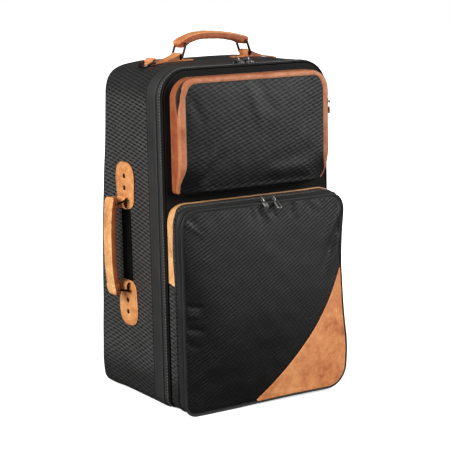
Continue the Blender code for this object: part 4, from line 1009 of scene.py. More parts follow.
class CASE_OT_padding(bpy.types.Operator):
    """Make the divider between the instruments and the pads at the ends of the bays"""
    bl_idname = "case.padding"
    bl_label = "Padding"

    def execute(self, context):
        gap, sink, edge = 0.0006, 0.0084, 0.0139
        for name in ("centre_divider", "lower_pad_left", "lower_pad_right", "upper_pad_left",
                     "upper_pad_right"):
            low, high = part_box(name)
            radius, crown = (0.0040, 0.0030) if name == "centre_divider" else (0.0080, 0.0060)
            block = (low.x + gap, high.x - gap, low.z + gap, high.z - gap)
            pad = cushion(context.scene.case_sizes, "pad_" + name, block, low.y + crown, crown,
                          radius, sink, edge)
            pad.finish("tub", (name,), "padding_plush")
        return {"FINISHED"}


# Lid

# The lid's side strip, as depths and how far in: a raised tape beside the zip, a groove, and
# a plain strip to the piping
STRIP_PROFILE = (
    (-0.0970, 0.0006), (-0.0974, 0.0), (-0.0981, -0.0006), (-0.0990, -0.0009),
    (-0.1003, -0.0009), (-0.1014, -0.0006), (-0.1022, 0.0), (-0.1027, 0.0012),
    (-0.1036, 0.0014), (-0.1042, 0.0008), (-0.1049, -0.0004), (-0.1057, -0.0010),
    (-0.1065, -0.0008), (-0.1071, 0.0), (-0.1075, 0.0011), (-0.1082, 0.0012),
    (-0.1088, 0.0005), (-0.1097, 0.0004), (-0.1097, 0.0043), (FRONT_Y, 0.0043),
)


class CASE_OT_lid(bpy.types.Operator):
    """Make the lid's cover, its piping with pale stitches, and its lining"""
    bl_idname = "case.lid"
    bl_label = "Lid"

    def execute(self, context):
        sizes = context.scene.case_sizes
        path = box_path(LID_BOX, sizes.step)
        along = path[2]
        # Slot 1, the lid cloth on the plain strip and on the front round the pockets, is darkened
        # as painted shade.
        cover = Piece("lid_cover", "smooth_tape", "lid_cloth", "black_thread", "pale_thread")
        profile = np.array(STRIP_PROFILE)
        strip = rows_at(path, profile[:, 1], profile[:, 0])
        cover.grid(strip[:15], side_uv(strip[:15], along))
        cover.grid(strip[14:], side_uv(strip[14:], along), 1)
        rings = inner_rings(path, 0.0043, np.linspace(1, 0, 20))
        relief = np.abs(0.0005 * ripples(rings[..., 0], rings[..., 1], 0.05, 5))
        front = at_depth(rings, FRONT_Y + relief * np.linspace(0, 1, 20)[:, None] ** 0.5)
        cover.grid(front, flat_uv(front), 1)
        wall = rows_at(path, [0.0006, sizes.shell_wall, sizes.shell_wall],
                       [LID_RIM_Y, LID_RIM_Y, FRONT_Y + 0.006])
        rings = inner_rings(path, sizes.shell_wall, np.linspace(1, 0, 6)[1:])
        cover.grid(np.concatenate([wall, at_depth(rings, FRONT_Y + 0.006)]))
        up = outward(path)
        for y in (-0.0983, -0.1010):
            cover.stitches(line_at(path, -0.0008, y), up, sizes.stitch_pitch, 2, FLAT_STITCH)
        cover.stitches(line_at(path, -0.0004, -0.1070), up, 0.0050, 3, (0.0016, 0.0007, 0.0007))
        cover.finish("lid", ("lid_shell",), "woven_fabric")

        # the piping takes the same darkened lid cloth, painted shade of the lid's front
        cord = Piece("lid_piping_cord", "lid_cloth", "black_thread")
        swell = 0.0020 + 0.00006 * np.cos(TURN * along / 0.0030)
        cord.grid(cord_rows(path, 0.0020, FRONT_Y + 0.0020, swell))
        cord.stitches(line_at(path, 0.0049, FRONT_Y - 0.0001), (0, -1, 0), sizes.stitch_pitch,
                      1, FLAT_STITCH)
        cord.finish("lid", ("lid_piping",), "piping")

        lining = Piece("lid_lining_plush", "lining_plush")
        path = box_path(LID_BOX, 0.009)
        front = FRONT_Y + 0.0063
        halves = []
        for inset, y, relief in ((0.0048, front, 0.0), (0.0078, front + 0.003, 0.0007)):
            rings = inner_rings(path, inset, np.linspace(0, 1, 12))
            swell = relief * (0.5 + 0.5 * ripples(rings[..., 0], rings[..., 1], 0.06, 15))
            face = at_depth(rings, y + swell * (1 - np.linspace(0, 1, 12) ** 6)[:, None])
            sides = rows_at(path, inset, np.linspace(y, LID_RIM_Y, 4)[1:])
            halves.append(np.concatenate([face, sides]))
        lining.slab(*halves)
        lining.finish("lid", ("lid_lining",), "lining_plush")
        return {"FINISHED"}


class CASE_OT_hinge(bpy.types.Operator):
    """Make the cloth hinge on the right long side"""
    bl_idname = "case.hinge"
    bl_label = "Hinge"

    def execute(self, context):
        height = np.linspace(CORNER_RADIUS, TUB_HIGH.z - CORNER_RADIUS, 90)
        depth = np.concatenate([np.linspace(-0.1087, -0.0972, 9),
                                np.linspace(-0.0968, -0.0922, 12),
                                np.linspace(-0.0916, -0.0660, 16)])
        seams = (-0.1062, -0.0990, -0.0895, -0.0690)
        bulge = 0.0018 * bell(depth, ZIP_Y, 0.0016)
        for line in seams:
            bulge = bulge - 0.0003 * bell(depth, line, 0.0005)
        x = TUB_HIGH.x + 0.0003
        outer = together((x + 0.0010 + bulge)[:, None], depth[:, None], height[None])
        inner = outer.copy()
        inner[..., 0] = (x + 0.0009 * bell(depth, ZIP_Y, 0.0014))[:, None]
        cloth = Piece("hinge_cloth", "smooth_tape", "black_thread")
        cloth.slab(outer, inner)
        for line in seams:
            cloth.stitches(together(x + 0.0009, line, height), (1, 0, 0),
                           context.scene.case_sizes.stitch_pitch, 1)
        cloth.finish(replaces=("tub_hinge_leaf", "lid_hinge_leaf"), slot="smooth_tape",
                     blend=("tub", "lid", (HINGE_X, ZIP_Y + 0.0022, 0.28),
                            (HINGE_X, ZIP_Y - 0.0022, 0.28)))
        return {"FINISHED"}


class CASE_OT_zips(bpy.types.Operator):
    """Make the teeth of the case's zip, on the tub and on the lid"""
    bl_idname = "case.zips"
    bl_label = "Case zip"

    def execute(self, context):
        path = box_path(LID_BOX, 0.004)
        x, z = path[0].T
        end = CORNER_RADIUS + 0.002
        hinged = (x > LID_BOX[1] - 1e-5) & (z > LID_BOX[2] + end) & (z < LID_BOX[3] - end)
        path = part_of(path, ~hinged)
        for word, near, far, shift in (("tub", 0.00010, 0.0022, 0.0),
                                       ("lid", -0.00010, -0.0022, 0.5)):
            teeth = Piece(f"{word}_zip_teeth", "zip_teeth", "smooth_tape")
            teeth.teeth(context.scene.case_zips, line_at(path, 0.0017, ZIP_Y + (near + far) / 2),
                        outward(path), shift)
            edges = [ZIP_Y + near, ZIP_Y + far]
            teeth.slab(rows_at(path, 0.0021, edges), rows_at(path, 0.0029, edges), None, 1)
            teeth.finish(word, (f"{word}_zip_coil",), "zip_coil")
        return {"FINISHED"}


# Lower pocket

def lower_box(depth):
    """The lower pocket's outline at a depth out from the lid; its top falls forward."""
    top = LOWER_TOP - 0.008 * depth / 0.052
    return (LOWER_LEFT, LOWER_RIGHT, LOWER_BOTTOM, top, LOWER_CORNERS)


def swell_of(box, inset, x, z):
    """Stuffed panel: (1 - |a|³)(1 - |b|³), a and b running from -1 to 1 across and up it."""
    left, right, bottom, top, _ = box
    across = (2 * x - left - right) / (right - left - 2 * inset)
    upward = (2 * z - bottom - top) / (top - bottom - 2 * inset)
    return (1 - np.clip(np.abs(across), 0, 1) ** 3) * (1 - np.clip(np.abs(upward), 0, 1) ** 3)


# Folds of the lower front: start, end, width and height as a share of the fold size
LOWER_FOLDS = (
    ((-0.157, 0.328), (-0.120, 0.296), 0.0036, 0.60),
    ((-0.151, 0.334), (-0.130, 0.316), 0.0050, -0.7),
    ((0.054, 0.333), (0.047, 0.312), 0.0036, -1.2), ((0.066, 0.333), (0.062, 0.308), 0.0050, 0.7),
    ((0.078, 0.334), (0.092, 0.312), 0.0045, -0.4), ((0.090, 0.334), (0.108, 0.315), 0.0042, 0.4),
    ((-0.016, 0.334), (-0.010, 0.312), 0.0036, -1.1),
    ((-0.004, 0.333), (0.006, 0.308), 0.0042, 0.9),
    ((-0.026, 0.333), (-0.030, 0.314), 0.0045, -0.7),
    ((0.010, 0.333), (0.018, 0.312), 0.0036, -0.8),
    ((-0.152, 0.186), (-0.126, 0.180), 0.0040, -0.9),
    ((-0.153, 0.170), (-0.130, 0.166), 0.0050, 0.6),
    ((-0.153, 0.150), (-0.122, 0.140), 0.0050, -0.9),
    ((-0.153, 0.125), (-0.128, 0.112), 0.0050, -0.7),
    ((0.151, 0.318), (0.120, 0.262), 0.0060, 1.3), ((0.153, 0.300), (0.126, 0.238), 0.0060, -1.5),
    ((0.150, 0.266), (0.124, 0.205), 0.0070, 1.2), ((0.142, 0.262), (0.112, 0.215), 0.0080, -0.7),
    ((-0.145, 0.050), (-0.105, 0.085), 0.0080, 0.5),
)


def lower_relief(pockets, x, z):
    """How far the lower front stands out: its crown, its folds and a slow waviness."""
    box = lower_box(pockets.lower_depth)
    swell = swell_of(box, 0.0032, x, z)
    relief = pockets.lower_crown * swell
    edge = np.clip(swell * 6, 0, 1)
    for start, end, width, height in LOWER_FOLDS:
        relief = relief + crease(x, z, start, end, width, height * pockets.fold) * np.clip(
            swell * 14, 0, 1)
    relief = relief + 0.0007 * ripples(x, z, 0.12, 31) * edge
    relief = relief + 0.00025 * ripples(x, z, 0.035, 33) * edge
    pull = smooth_step(z, 0.29, 0.337) * (0.5 - 0.5 * np.cos(TURN * (x + 0.15) / 0.034))
    return relief - 0.0007 * pull * np.clip(swell * 10, 0, 1)


def tighten(points):
    """Shape the stuffed lower pocket.

    With its depth, the left side draws in and the right side bows out and in. The top
    corners stand out, most near the lid, and the low right part hangs down a little.
    """
    points = points.copy()
    x, depth, z = points[:, 0].copy(), FRONT_Y - points[:, 1], points[:, 2].copy()
    forward = smooth_step(depth, 0.004, 0.048)
    left = smooth_step(-x, 0.095, 0.156)
    right = smooth_step(x, 0.060, 0.154)
    side = (0.0075 * bell(z, 0.070, 0.055) - 0.0028 * bell(z, 0.225, 0.050)
            + 0.0035 * bell(z, 0.325, 0.035))
    points[:, 0] += (right * side - 0.0045 * left) * forward
    edge = smooth_step(depth, 0.036, 0.046)
    near_left = bell(x, -0.147, 0.018) * bell(z, 0.333, 0.018) * (0.75 + 0.25 * edge)
    near_right = bell(x, 0.146, 0.0165) * bell(z, 0.335, 0.020)
    points[:, 0] += (0.0065 - 0.0043 * edge) * near_right - 0.0026 * near_left
    points[:, 2] += (0.0070 - 0.0045 * edge) * near_right + 0.0034 * near_left
    points[:, 2] += 0.0015 * forward * smooth_step(x, 0.100, 0.145) * smooth_step(z, 0.225, 0.338)
    points[:, 2] -= 0.0028 * smooth_step(-x, -0.06, 0.12) * smooth_step(-z, -0.045, -0.005)
    return points


# Bodies and places for the cloth of each front below and above its fold; finish() only checks that
# one is given, and then leaves the piece in world space without a body
LOWER_BLEND = ("lid", "lower_flap", (0.0, -0.1724, 0.2070), (0.0, -0.1724, 0.2380))
UPPER_BLEND = ("lid", "upper_flap", (0.0, -0.1497, 0.4740), (0.0, -0.1497, 0.5000))


def lower_sides():
    """Woven sides between the lid and the tape, puckered where the thread pulls them."""
    path = box_path(lower_box(SIDES_DEPTH), LOWER_STEP)
    along = path[2]
    depth = np.linspace(0.0003, SIDES_DEPTH, 14)
    low = smooth_step(path[0][:, 1], 0.225, 0.195)[None]
    pucker = 0.5 + 0.5 * ripples(depth[:, None], along, 0.016, 41, 0.8)
    bow = np.sin(math.pi * np.linspace(0, 1, 14))[:, None] ** 0.7
    inset = 0.0015 - low * 0.0013 + 0.0011 * pucker * bow * low
    piece = Piece("lower_pocket_sides", "woven_side", "black_thread")
    piece.slab(rows_at(path, inset, FRONT_Y - depth), rows_at(path, 0.0040, FRONT_Y - depth),
               together(-depth[:, None], along[None]))
    piece.finish("lid", ("lower_pocket_gusset",), "woven_fabric", bend=tighten)


def lower_trim(sizes):
    """Leather strip on the back edge: wide at the sides, narrow on top, slanted ends."""
    box = lower_box(SIDES_DEPTH)
    low_end = LOWER_SPLIT + 0.004
    path = box_path(box, LOWER_STEP, "arch", low_end)
    height = path[0][:, 1]
    top = box[3]
    rise = smooth_step(height, top - LOWER_RADIUS * 0.5, top)
    side = (0.0142 + 0.0036 * smooth_step(height, 0.268, 0.318)
            + 0.0050 * smooth_step(-height, -0.262, -0.214))
    width = side + (0.0060 - side) * rise
    share = np.linspace(0, 1, 12)[:, None]
    depth = 0.0003 + (width[None] - 0.0003) * share
    arch = np.sin(math.pi * share)
    bow = 0.0003 * arch - 0.0007 * (share > 0.99)
    fold = 0.0003 * ripples(depth, path[2], 0.02, 43, 2.0)
    outer = rows_at(path, -bow + np.abs(fold) * arch, FRONT_Y - depth)
    inner = rows_at(path, 0.0012, FRONT_Y - depth)
    ends = 1 - smooth_step(height, low_end, low_end + 0.030)
    for rows in (outer, inner):
        rows[..., 2] += ends[None] * (0.001 - 0.003 * share)
    strip = Piece("lower_pocket_leather_trim", "leather_pale", "leather_edge", "tan_thread")
    strip.slab(outer, inner, rim_uv(outer), 0, 1)
    out = outward(path)
    for row in (1, -2):
        strip.stitches((outer[row] + out * 0.0001)[1:-1], out[1:-1], sizes.stitch_pitch, 2,
                       (0.0025, 0.0006, 0.0005))
    strip.finish("lid", ("lower_pocket_trim",), "tan_leather", bend=tighten)


def lower_tape(sizes, zips):
    """Smooth tape from the sides to the zip, with a raised edge along the teeth."""
    box = lower_box(TAPE_END)
    path = box_path(box, LOWER_STEP)
    along = path[2]
    depth = np.linspace(TAPE_START, TAPE_END, 16)
    share = np.linspace(0, 1, 16)[:, None]
    bow = np.sin(math.pi * share)
    low = smooth_step(path[0][:, 1], 0.225, 0.195)[None]
    line = (0.0008 * bell(share, 0.10, 0.06) + 0.0012 * bell(share, 0.52, 0.07)
            - 0.0010 * bell(share, 0.30, 0.10) - 0.0009 * bell(share, 0.74, 0.10))
    pucker = 0.0012 * (0.5 + 0.5 * ripples(depth[:, None], along, 0.014, 45, 0.7)) * bow
    outer = rows_at(path, 0.0030 + line + low * (pucker - 0.0014 * bow), FRONT_Y - depth)
    inner = rows_at(path, 0.0050, FRONT_Y - depth)
    top = box[3] - lower_box(TAPE_START)[3]
    raised = smooth_step(path[0][:, 1], 0.30, 0.335)[None] * (1 - share) * -top
    outer[..., 2] += raised
    inner[..., 2] += raised
    # the lower pocket's tape is the smooth tape at half shade: painted shade under the upper pocket
    piece = Piece("lower_pocket_tape", "pocket_tape", "zip_teeth", "black_thread")
    piece.slab(outer, inner, side_uv(outer, along))
    arch = box_path(box, LOWER_STEP, "arch", LOWER_SPLIT + 0.003)
    piece.teeth(zips, line_at(arch, 0.0030, FRONT_Y - 0.0404), outward(arch), 0.0, 1)
    piece.stitches(line_at(arch, 0.0028, FRONT_Y - 0.0345), outward(arch), sizes.stitch_pitch, 2)
    piece.finish("lid", ("lower_pocket_rear_tape",), "smooth_tape", bend=tighten)


def lower_front(pockets, zips):
    """Front cloth: a rim that runs forward from the zip and rolls into the swelling face."""
    depth = pockets.lower_depth
    face = depth - SEAM_DEPTH
    path = box_path(lower_box(depth), 0.0032)
    along = path[2]
    halves = []
    for extra in (0.0, 0.0020):
        inset = 0.0032 + extra
        rim = np.linspace(RIM_START, face - 0.0022 - extra, 5)
        rows = rows_at(path, inset, FRONT_Y - rim)
        angle = np.linspace(0, QUARTER, 5)[1:]
        roll = rows_at(path, inset + 0.0022 * (1 - np.cos(angle)),
                       FRONT_Y - rim[-1] - 0.0022 * np.sin(angle))
        rings = inner_rings(path, inset + 0.0022, np.linspace(1, 0, 56)[1:])
        relief = lower_relief(pockets, rings[..., 0], rings[..., 1])
        halves.append(np.concatenate([rows, roll, at_depth(rings, FRONT_Y - face + extra
                                                           - relief)]))
    outer, inner = halves
    # its rim takes the same half-shade tape: painted shade under the upper pocket
    cloth = Piece("lower_pocket_front", "woven_lower", "zip_teeth", "pocket_tape")
    split = 8
    cloth.grid(outer[:split + 1], side_uv(outer[:split + 1], along), 2)
    cloth.grid(outer[split:], flat_uv(outer[split:]))
    cloth.grid(inner, None, 2)
    cloth.grid(np.stack([outer[0], inner[0]]), None, 2)
    arch = box_path(lower_box(0.0425), LOWER_STEP, "arch", LOWER_SPLIT + 0.003)
    cloth.teeth(zips, line_at(arch, 0.0030, FRONT_Y - 0.0424), outward(arch), 0.5, 1)
    cloth.finish(replaces=("lower_pocket_panel", "lower_flap_panel"), slot="woven_fabric",
                 blend=LOWER_BLEND, bend=tighten)

    cord = Piece("lower_front_piping", "piping_cloth", "black_thread")
    swell = 0.0016 + 0.00007 * np.cos(TURN * along / 0.0034)
    cord.grid(cord_rows(path, 0.0013, FRONT_Y - depth + SEAM_DEPTH, swell))
    cord.grid(cord_rows(path, 0.0034, FRONT_Y - face + 0.0002, 0.0008, 8))
    line = line_at(path, 0.0047, FRONT_Y - face - 0.0001)
    line[:, 1] -= lower_relief(pockets, line[:, 0], line[:, 2])
    cord.stitches(line, (0, -1, 0), 0.0042, 1, (0.0026, 0.0008, 0.0007))
    cord.finish(replaces=("lower_pocket_piping", "lower_flap_piping"), slot="piping",
                blend=LOWER_BLEND, bend=tighten)


# The patch's free edge, from the right side down to the bottom, within the front's seam
PATCH_INSET = 0.0040
PATCH_EDGE = ((LOWER_RIGHT - PATCH_INSET, 0.216), (0.138, 0.192), (0.116, 0.151),
              (0.0785, 0.101), (0.039, 0.063), (0.0005, 0.027),
              (-0.029, LOWER_BOTTOM + PATCH_INSET))


def lower_patch(sizes, pockets):
    """Leather patch: rows run from its free edge C(t), a quartic, out to the corner B(t)."""
    guide = np.array(PATCH_EDGE)
    reach = LOWER_RADIUS - PATCH_INSET
    angle = np.linspace(0, -QUARTER, 30)
    arc = np.array([guide[0, 0] - reach, guide[-1, 1] + reach]) + reach * np.stack(
        [np.cos(angle), np.sin(angle)], axis=1)
    corners = np.concatenate([guide[:1], arc, guide[-1:]])
    share = np.linspace(0, 1, 60)
    gaps = run_along(corners)
    border = sample(np.linspace(0, gaps[-1], 60), gaps, corners)
    knots = run_along(guide)
    curve = np.stack([np.polyval(np.polyfit(knots / knots[-1], column, 4), share)
                      for column in guide.T], axis=1)
    curve += ((guide[0] - curve[0]) * (1 - share[:, None])
              + (guide[-1] - curve[-1]) * share[:, None])
    rows = np.linspace(0, 1, 34)
    flat = curve[None] + (border - curve)[None] * rows[:, None, None]
    x, z = flat[..., 0], flat[..., 1]
    face = FRONT_Y - (pockets.lower_depth - SEAM_DEPTH)
    base = face - lower_relief(pockets, x, z)
    lip = np.minimum(rows / 0.03, 1)[:, None] ** 0.5
    lip = lip * np.minimum((1 - rows) / 0.03, 1)[:, None] ** 0.5
    mottled = 0.00025 * ripples(x, z, 0.022, 51)
    outer = at_depth(flat, base - 0.0007 - (pockets.patch - 0.0001) * (0.55 + 0.45 * lip)
                     - mottled * lip)[:, 1:-1]
    inner = at_depth(flat, base - 0.0004)[:, 1:-1]
    piece = Piece("corner_patch", "tan_leather", "leather_edge", "tan_thread")
    piece.slab(outer, inner, rim_uv(outer, 0.0007) * 0.8, 0, 1)
    for inward in (0.0022, 0.0046):
        line = curve[2:-2] + unit(border - curve)[2:-2] * inward
        depth = face - 0.0020 - lower_relief(pockets, line[:, 0], line[:, 1])
        piece.stitches(at_depth(line, depth), (0, -1, 0), sizes.stitch_pitch, 2)
    piece.finish("lid", ("leather_corner_patch",), "tan_leather", bend=tighten)


class CASE_OT_lower_pocket(bpy.types.Operator):
    """Make the lower pocket's sides, leather trim, tape, zip, front, piping and patch"""
    bl_idname = "case.lower_pocket"
    bl_label = "Lower pocket"

    def execute(self, context):
        sizes, pockets = context.scene.case_sizes, context.scene.case_pockets
        lower_sides()
        lower_trim(sizes)
        lower_tape(sizes, context.scene.case_zips)
        lower_front(pockets, context.scene.case_zips)
        lower_patch(sizes, pockets)
        return {"FINISHED"}


# Upper pocket

def lens(height, along_top):
    """Front edge of the rear strip and back edge of the band, as depths at a height.

    Below the split both meet at a crease. Above it they part into a lens that shows the
    zip, and close again to a narrow gap over the top.
    """
    open_up = smooth_step(height, 0.480, 0.512)
    rear = 0.0222 - 0.0058 * open_up
    front = 0.0224 + 0.0070 * open_up
    return rear + (0.0150 - rear) * along_top, front + (0.0200 - front) * along_top


def draw_in(points):
    """Shallow low corners of the upper pocket: y + 0.42 depth low(z) side(x)."""
    points = points.copy()
    low = 1 - smooth_step(points[:, 2], 0.360, 0.412)
    side = smooth_step(np.abs(points[:, 0]), 0.100, 0.143)
    points[:, 1] += 0.42 * np.maximum(FRONT_Y - points[:, 1], 0) * low * side
    return points


def stretch_of(path, keep):
    """The stretch of an outline from the first to the last point that a mask keeps."""
    keep = np.flatnonzero(keep)
    zone = slice(keep[0], keep[-1] + 1)
    return zone, tuple(values[zone] for values in path)


def teeth_line(arch, depth):
    """A line for teeth under the leather, at a depth that changes along the outline."""
    return line_at(arch, 0.0018, 0.0) + at_depth(np.zeros((len(depth), 2)), depth)


def upper_sides(sizes, path, rear):
    """Leather sides, with black cloth along the bottom, darkened as painted shade under the pocket.
    """
    bottom = UPPER_BOX[2]
    height, along = path[0][:, 1], path[2]
    reach = rear + (0.0153 - rear) * smooth_step(-height, -bottom - 0.006, -bottom)
    share = np.linspace(0, 1, 14)[:, None]
    depth = 0.0003 + (reach[None] - 0.0003) * share
    bow = np.sin(math.pi * share)
    relief = -0.0006 * bow + 0.0005 * np.abs(ripples(depth, along, 0.018, 61, 3.0)) * bow
    outer = rows_at(path, relief, FRONT_Y - depth)
    inner = rows_at(path, 0.0022, FRONT_Y - depth)
    piece = Piece("upper_pocket_sides", "leather_red", "leather_edge", "tan_thread", "lid_cloth")
    zone = stretch_of(path, height > bottom + 0.003)[0]
    first, last = zone.start, zone.stop - 1
    for span, slot, edge_slot in ((zone, 0, 1), (slice(0, first + 1), 3, 3),
                                  (slice(last, None), 3, 3)):
        piece.slab(outer[:, span], inner[:, span], rim_uv(outer[:, span], 0.0022) * (slot == 0),
                   slot, edge_slot)
    out = outward(path)
    piece.stitches((outer[1] + out * 0.0002)[first:last], out[first:last], sizes.stitch_pitch, 2)
    piece.finish("lid", ("upper_pocket_gusset",), "tan_leather", bend=draw_in)


def upper_zip(zips, path, rear, front):
    """Tape and teeth between the sides and the band."""
    zone, arch = stretch_of(path, path[0][:, 1] > UPPER_SPLIT + 0.001)
    start, end = rear[zone] - 0.0012, (rear[zone] + front[zone]) / 2
    share = np.linspace(0, 1, 6)[:, None]
    depth = start[None] + (end - start)[None] * share
    dip = 0.0014 + 0.0010 * np.sin(math.pi * share * 0.5)
    # the tape takes the darker piping cloth: painted shade in the narrow lens between the leather
    piece = Piece("upper_zip_tape", "piping_cloth", "zip_teeth")
    piece.slab(rows_at(arch, dip, FRONT_Y - depth), rows_at(arch, dip + 0.0010, FRONT_Y - depth))
    piece.teeth(zips, teeth_line(arch, FRONT_Y - end + 0.0009), outward(arch), 0.0, 1)
    piece.finish("lid", ("upper_pocket_zip_tape",), "smooth_tape")


def upper_band(sizes, pockets, zips, path, rear, front, width):
    """Leather band: back along the side, round the edge by an arc, and onto the front.

    Its front part narrows to a point at both lower ends.
    """
    depth = pockets.upper_depth
    zone, arch = stretch_of(path, path[0][:, 1] > UPPER_BOX[2] + 0.003)
    rear, back, width = rear[zone], front[zone], width[zone]
    turn = 0.0035
    halves = []
    for wall in (0.0, 0.0017):
        side = np.linspace(0, 1, 6)[:, None]
        gap = np.maximum(depth - turn - back, 0.00002)[None] * side
        puff = 0.0005 * np.sin(math.pi * side) * (wall == 0)
        rows = [rows_at(arch, wall - puff, FRONT_Y - back - gap)]
        begin = np.arcsin(np.clip((back - depth + turn) / turn, 0, 0.97))
        angle = begin + (QUARTER - begin) * np.linspace(0, 1, 7)[:, None]
        bend = turn - wall
        rows[0] -= (rows[0][:1] - rows_at(arch, turn - bend * np.cos(begin)[None],
                                          rows[0][:1, :, 1])) * (back > depth - turn)[None, :, None]
        rows.append(rows_at(arch, turn - bend * np.cos(angle),
                            FRONT_Y - (depth - turn) - bend * np.sin(angle))[1:])
        across = np.linspace(0, 1, 7)[1:, None]
        reach = turn + (np.maximum(width, turn + 0.0002) - turn)[None] * across
        puff = 0.0005 * np.sin(math.pi * across) * (wall == 0)
        rows.append(rows_at(arch, reach, FRONT_Y - depth + wall - puff))
        halves.append(np.concatenate(rows))
    outer, inner = halves
    fold = 0.00022 * ripples(outer[..., 1], arch[2], 0.012, 71, 4.0)
    outer[1:-1, :, 1] -= np.abs(fold[1:-1])
    # the band's darker leather is partly painted shade
    strip = Piece("upper_pocket_band", "leather_band", "leather_edge", "tan_thread",
                  "piping_cloth", "zip_teeth")
    strip.slab(outer, inner, rim_uv(outer, 0.0016), 0, 1)
    seam = outer[-2] + np.array([0, -0.0002, 0])
    strip.stitches(seam[3:-3], (0, -1, 0), sizes.stitch_pitch, 2)

    # the zip's front half, which hangs under the band
    zone, arch = stretch_of(arch, arch[0][:, 1] > UPPER_SPLIT + 0.001)
    back = back[zone]
    middle = (rear[zone] + back) / 2
    share = np.linspace(0, 1, 6)[:, None]
    under = middle[None] + (np.minimum(back + 0.0012, depth - 0.0045) - middle)[None] * share
    dip = 0.0024 - 0.0006 * share
    # this tape too takes the darker piping cloth: painted shade in the lens
    strip.slab(rows_at(arch, dip, FRONT_Y - under), rows_at(arch, dip + 0.001, FRONT_Y - under),
               None, 3)
    strip.teeth(zips, teeth_line(arch, FRONT_Y - middle - 0.0009), outward(arch), 0.5, 4)
    strip.finish(replaces=("upper_flap_band", "upper_band_leg_left", "upper_band_leg_right"),
                 slot="tan_leather", blend=UPPER_BLEND, bend=draw_in)


# Folds of the upper front: start, end, width and height as a share of the fold size
UPPER_FOLDS = (
    ((-0.020, 0.535), (0.004, 0.470), 0.010, 0.7), ((0.004, 0.532), (0.030, 0.480), 0.010, -0.6),
    ((-0.126, 0.375), (-0.082, 0.432), 0.008, 0.9),
    ((-0.112, 0.372), (-0.066, 0.424), 0.008, -0.8),
    ((-0.128, 0.520), (-0.100, 0.470), 0.008, -0.6),
    ((0.020, 0.384), (0.100, 0.390), 0.012, 0.9),
    ((0.118, 0.500), (0.090, 0.452), 0.010, -0.5),
    ((0.030, 0.400), (0.110, 0.415), 0.012, -0.5),
)


def upper_relief(pockets, x, z):
    """How far the upper front stands out: its crown, its folds and a slow waviness."""
    swell = swell_of(UPPER_BOX, 0.0105, x, z)
    edge = np.clip(swell * 5, 0, 1)
    relief = pockets.upper_crown * swell
    for start, end, width, height in UPPER_FOLDS:
        relief = relief + crease(x, z, start, end, width, height * pockets.fold) * edge
    relief = relief + 0.0006 * ripples(x, z, 0.09, 35) * edge
    return relief + 0.0002 * ripples(x, z, 0.03, 37) * edge


def upper_front(pockets, path, under, width):
    """Woven front: behind the band on three sides, rolling under along the bottom."""
    depth = pockets.upper_depth - 0.0003
    halves = []
    for wall in (0.0, 0.0020):
        inset = np.clip(width - 0.0018, 0.0008, 0.0092) + wall
        roll = 0.0012 + (0.0060 - 0.0012) * under
        start = (depth - 0.0030) + (0.0156 - depth + 0.0030) * under
        edge = depth - wall - roll
        rim = start[None] + (edge - start)[None] * np.linspace(0, 1, 5)[:, None]
        angle = np.linspace(0, QUARTER, 7)[1:, None]
        rings = inner_rings(path, inset + roll, np.linspace(1, 0, 44)[1:])
        relief = upper_relief(pockets, rings[..., 0], rings[..., 1])
        halves.append(np.concatenate([
            rows_at(path, inset[None], FRONT_Y - rim),
            rows_at(path, inset[None] + roll[None] * (1 - np.cos(angle)),
                    FRONT_Y - edge[None] - roll[None] * np.sin(angle)),
            at_depth(rings, FRONT_Y - depth + wall - relief)]))
    outer, inner = halves
    cloth = Piece("upper_pocket_front", "woven_upper", "smooth_tape")
    cloth.grid(outer, flat_uv(outer))
    cloth.grid(inner, None, 1)
    cloth.grid(np.stack([outer[0], inner[0]]), None, 1)
    cloth.finish(replaces=("upper_pocket_panel", "upper_flap_panel"), slot="woven_fabric",
                 blend=UPPER_BLEND, bend=draw_in)


class CASE_OT_upper_pocket(bpy.types.Operator):
    """Make the upper pocket's leather sides and band, its zip and its woven front"""
    bl_idname = "case.upper_pocket"
    bl_label = "Upper pocket"

    def execute(self, context):
        sizes, zips = context.scene.case_sizes, context.scene.case_zips
        pockets = context.scene.case_pockets
        bottom, top = UPPER_BOX[2:4]
        path = box_path(UPPER_BOX, 0.003)
        height = path[0][:, 1]
        on_top = smooth_step(height, top - UPPER_RADIUS * 0.55, top - 0.001)
        rear, front = lens(height, on_top)
        under = smooth_step(-height, -bottom - 0.016, -bottom - 0.002)
        taper = smooth_step(height, bottom + 0.004, bottom + 0.050)
        width = (0.0012 + (pockets.band - 0.0012) * taper) * (1 - 0.30 * on_top)
        upper_sides(sizes, path, rear)
        upper_zip(zips, path, rear, front)
        upper_band(sizes, pockets, zips, path, rear, front, width)
        upper_front(pockets, path, under, width)
        return {"FINISHED"}


# Straps, rings and grips

def top_place(along, across, up):
    """Points on the case's top, which follow its rounded corners: (x, y, height over it)."""
    straight = TUB_HIGH.x - CORNER_RADIUS
    over = np.clip(np.abs(along) - straight, 0, CORNER_RADIUS)
    drop = np.sqrt(CORNER_RADIUS ** 2 - over ** 2) - CORNER_RADIUS
    return together(along, -0.006 + across, TUB_HIGH.z + 0.0003 + up + drop)


def crest(x):
    """How far the stuffed top stands up: full in the middle, dying away to both sides."""
    return 0.0032 * (1 - smooth_step(np.abs(x), 0.088, 0.122))


def raised_place(along, across, up):
    """top_place on the stuffed top, which stands a little over the flat one."""
    points = top_place(along, across, up)
    points[..., 2] += crest(points[..., 0])
    return points


def side_place(along, across, up):
    """Points on the case's left side: along upwards from the handle's middle."""
    return together(TUB_LOW.x - 0.0003 - up, 0.017 + across, 0.2605 + along)


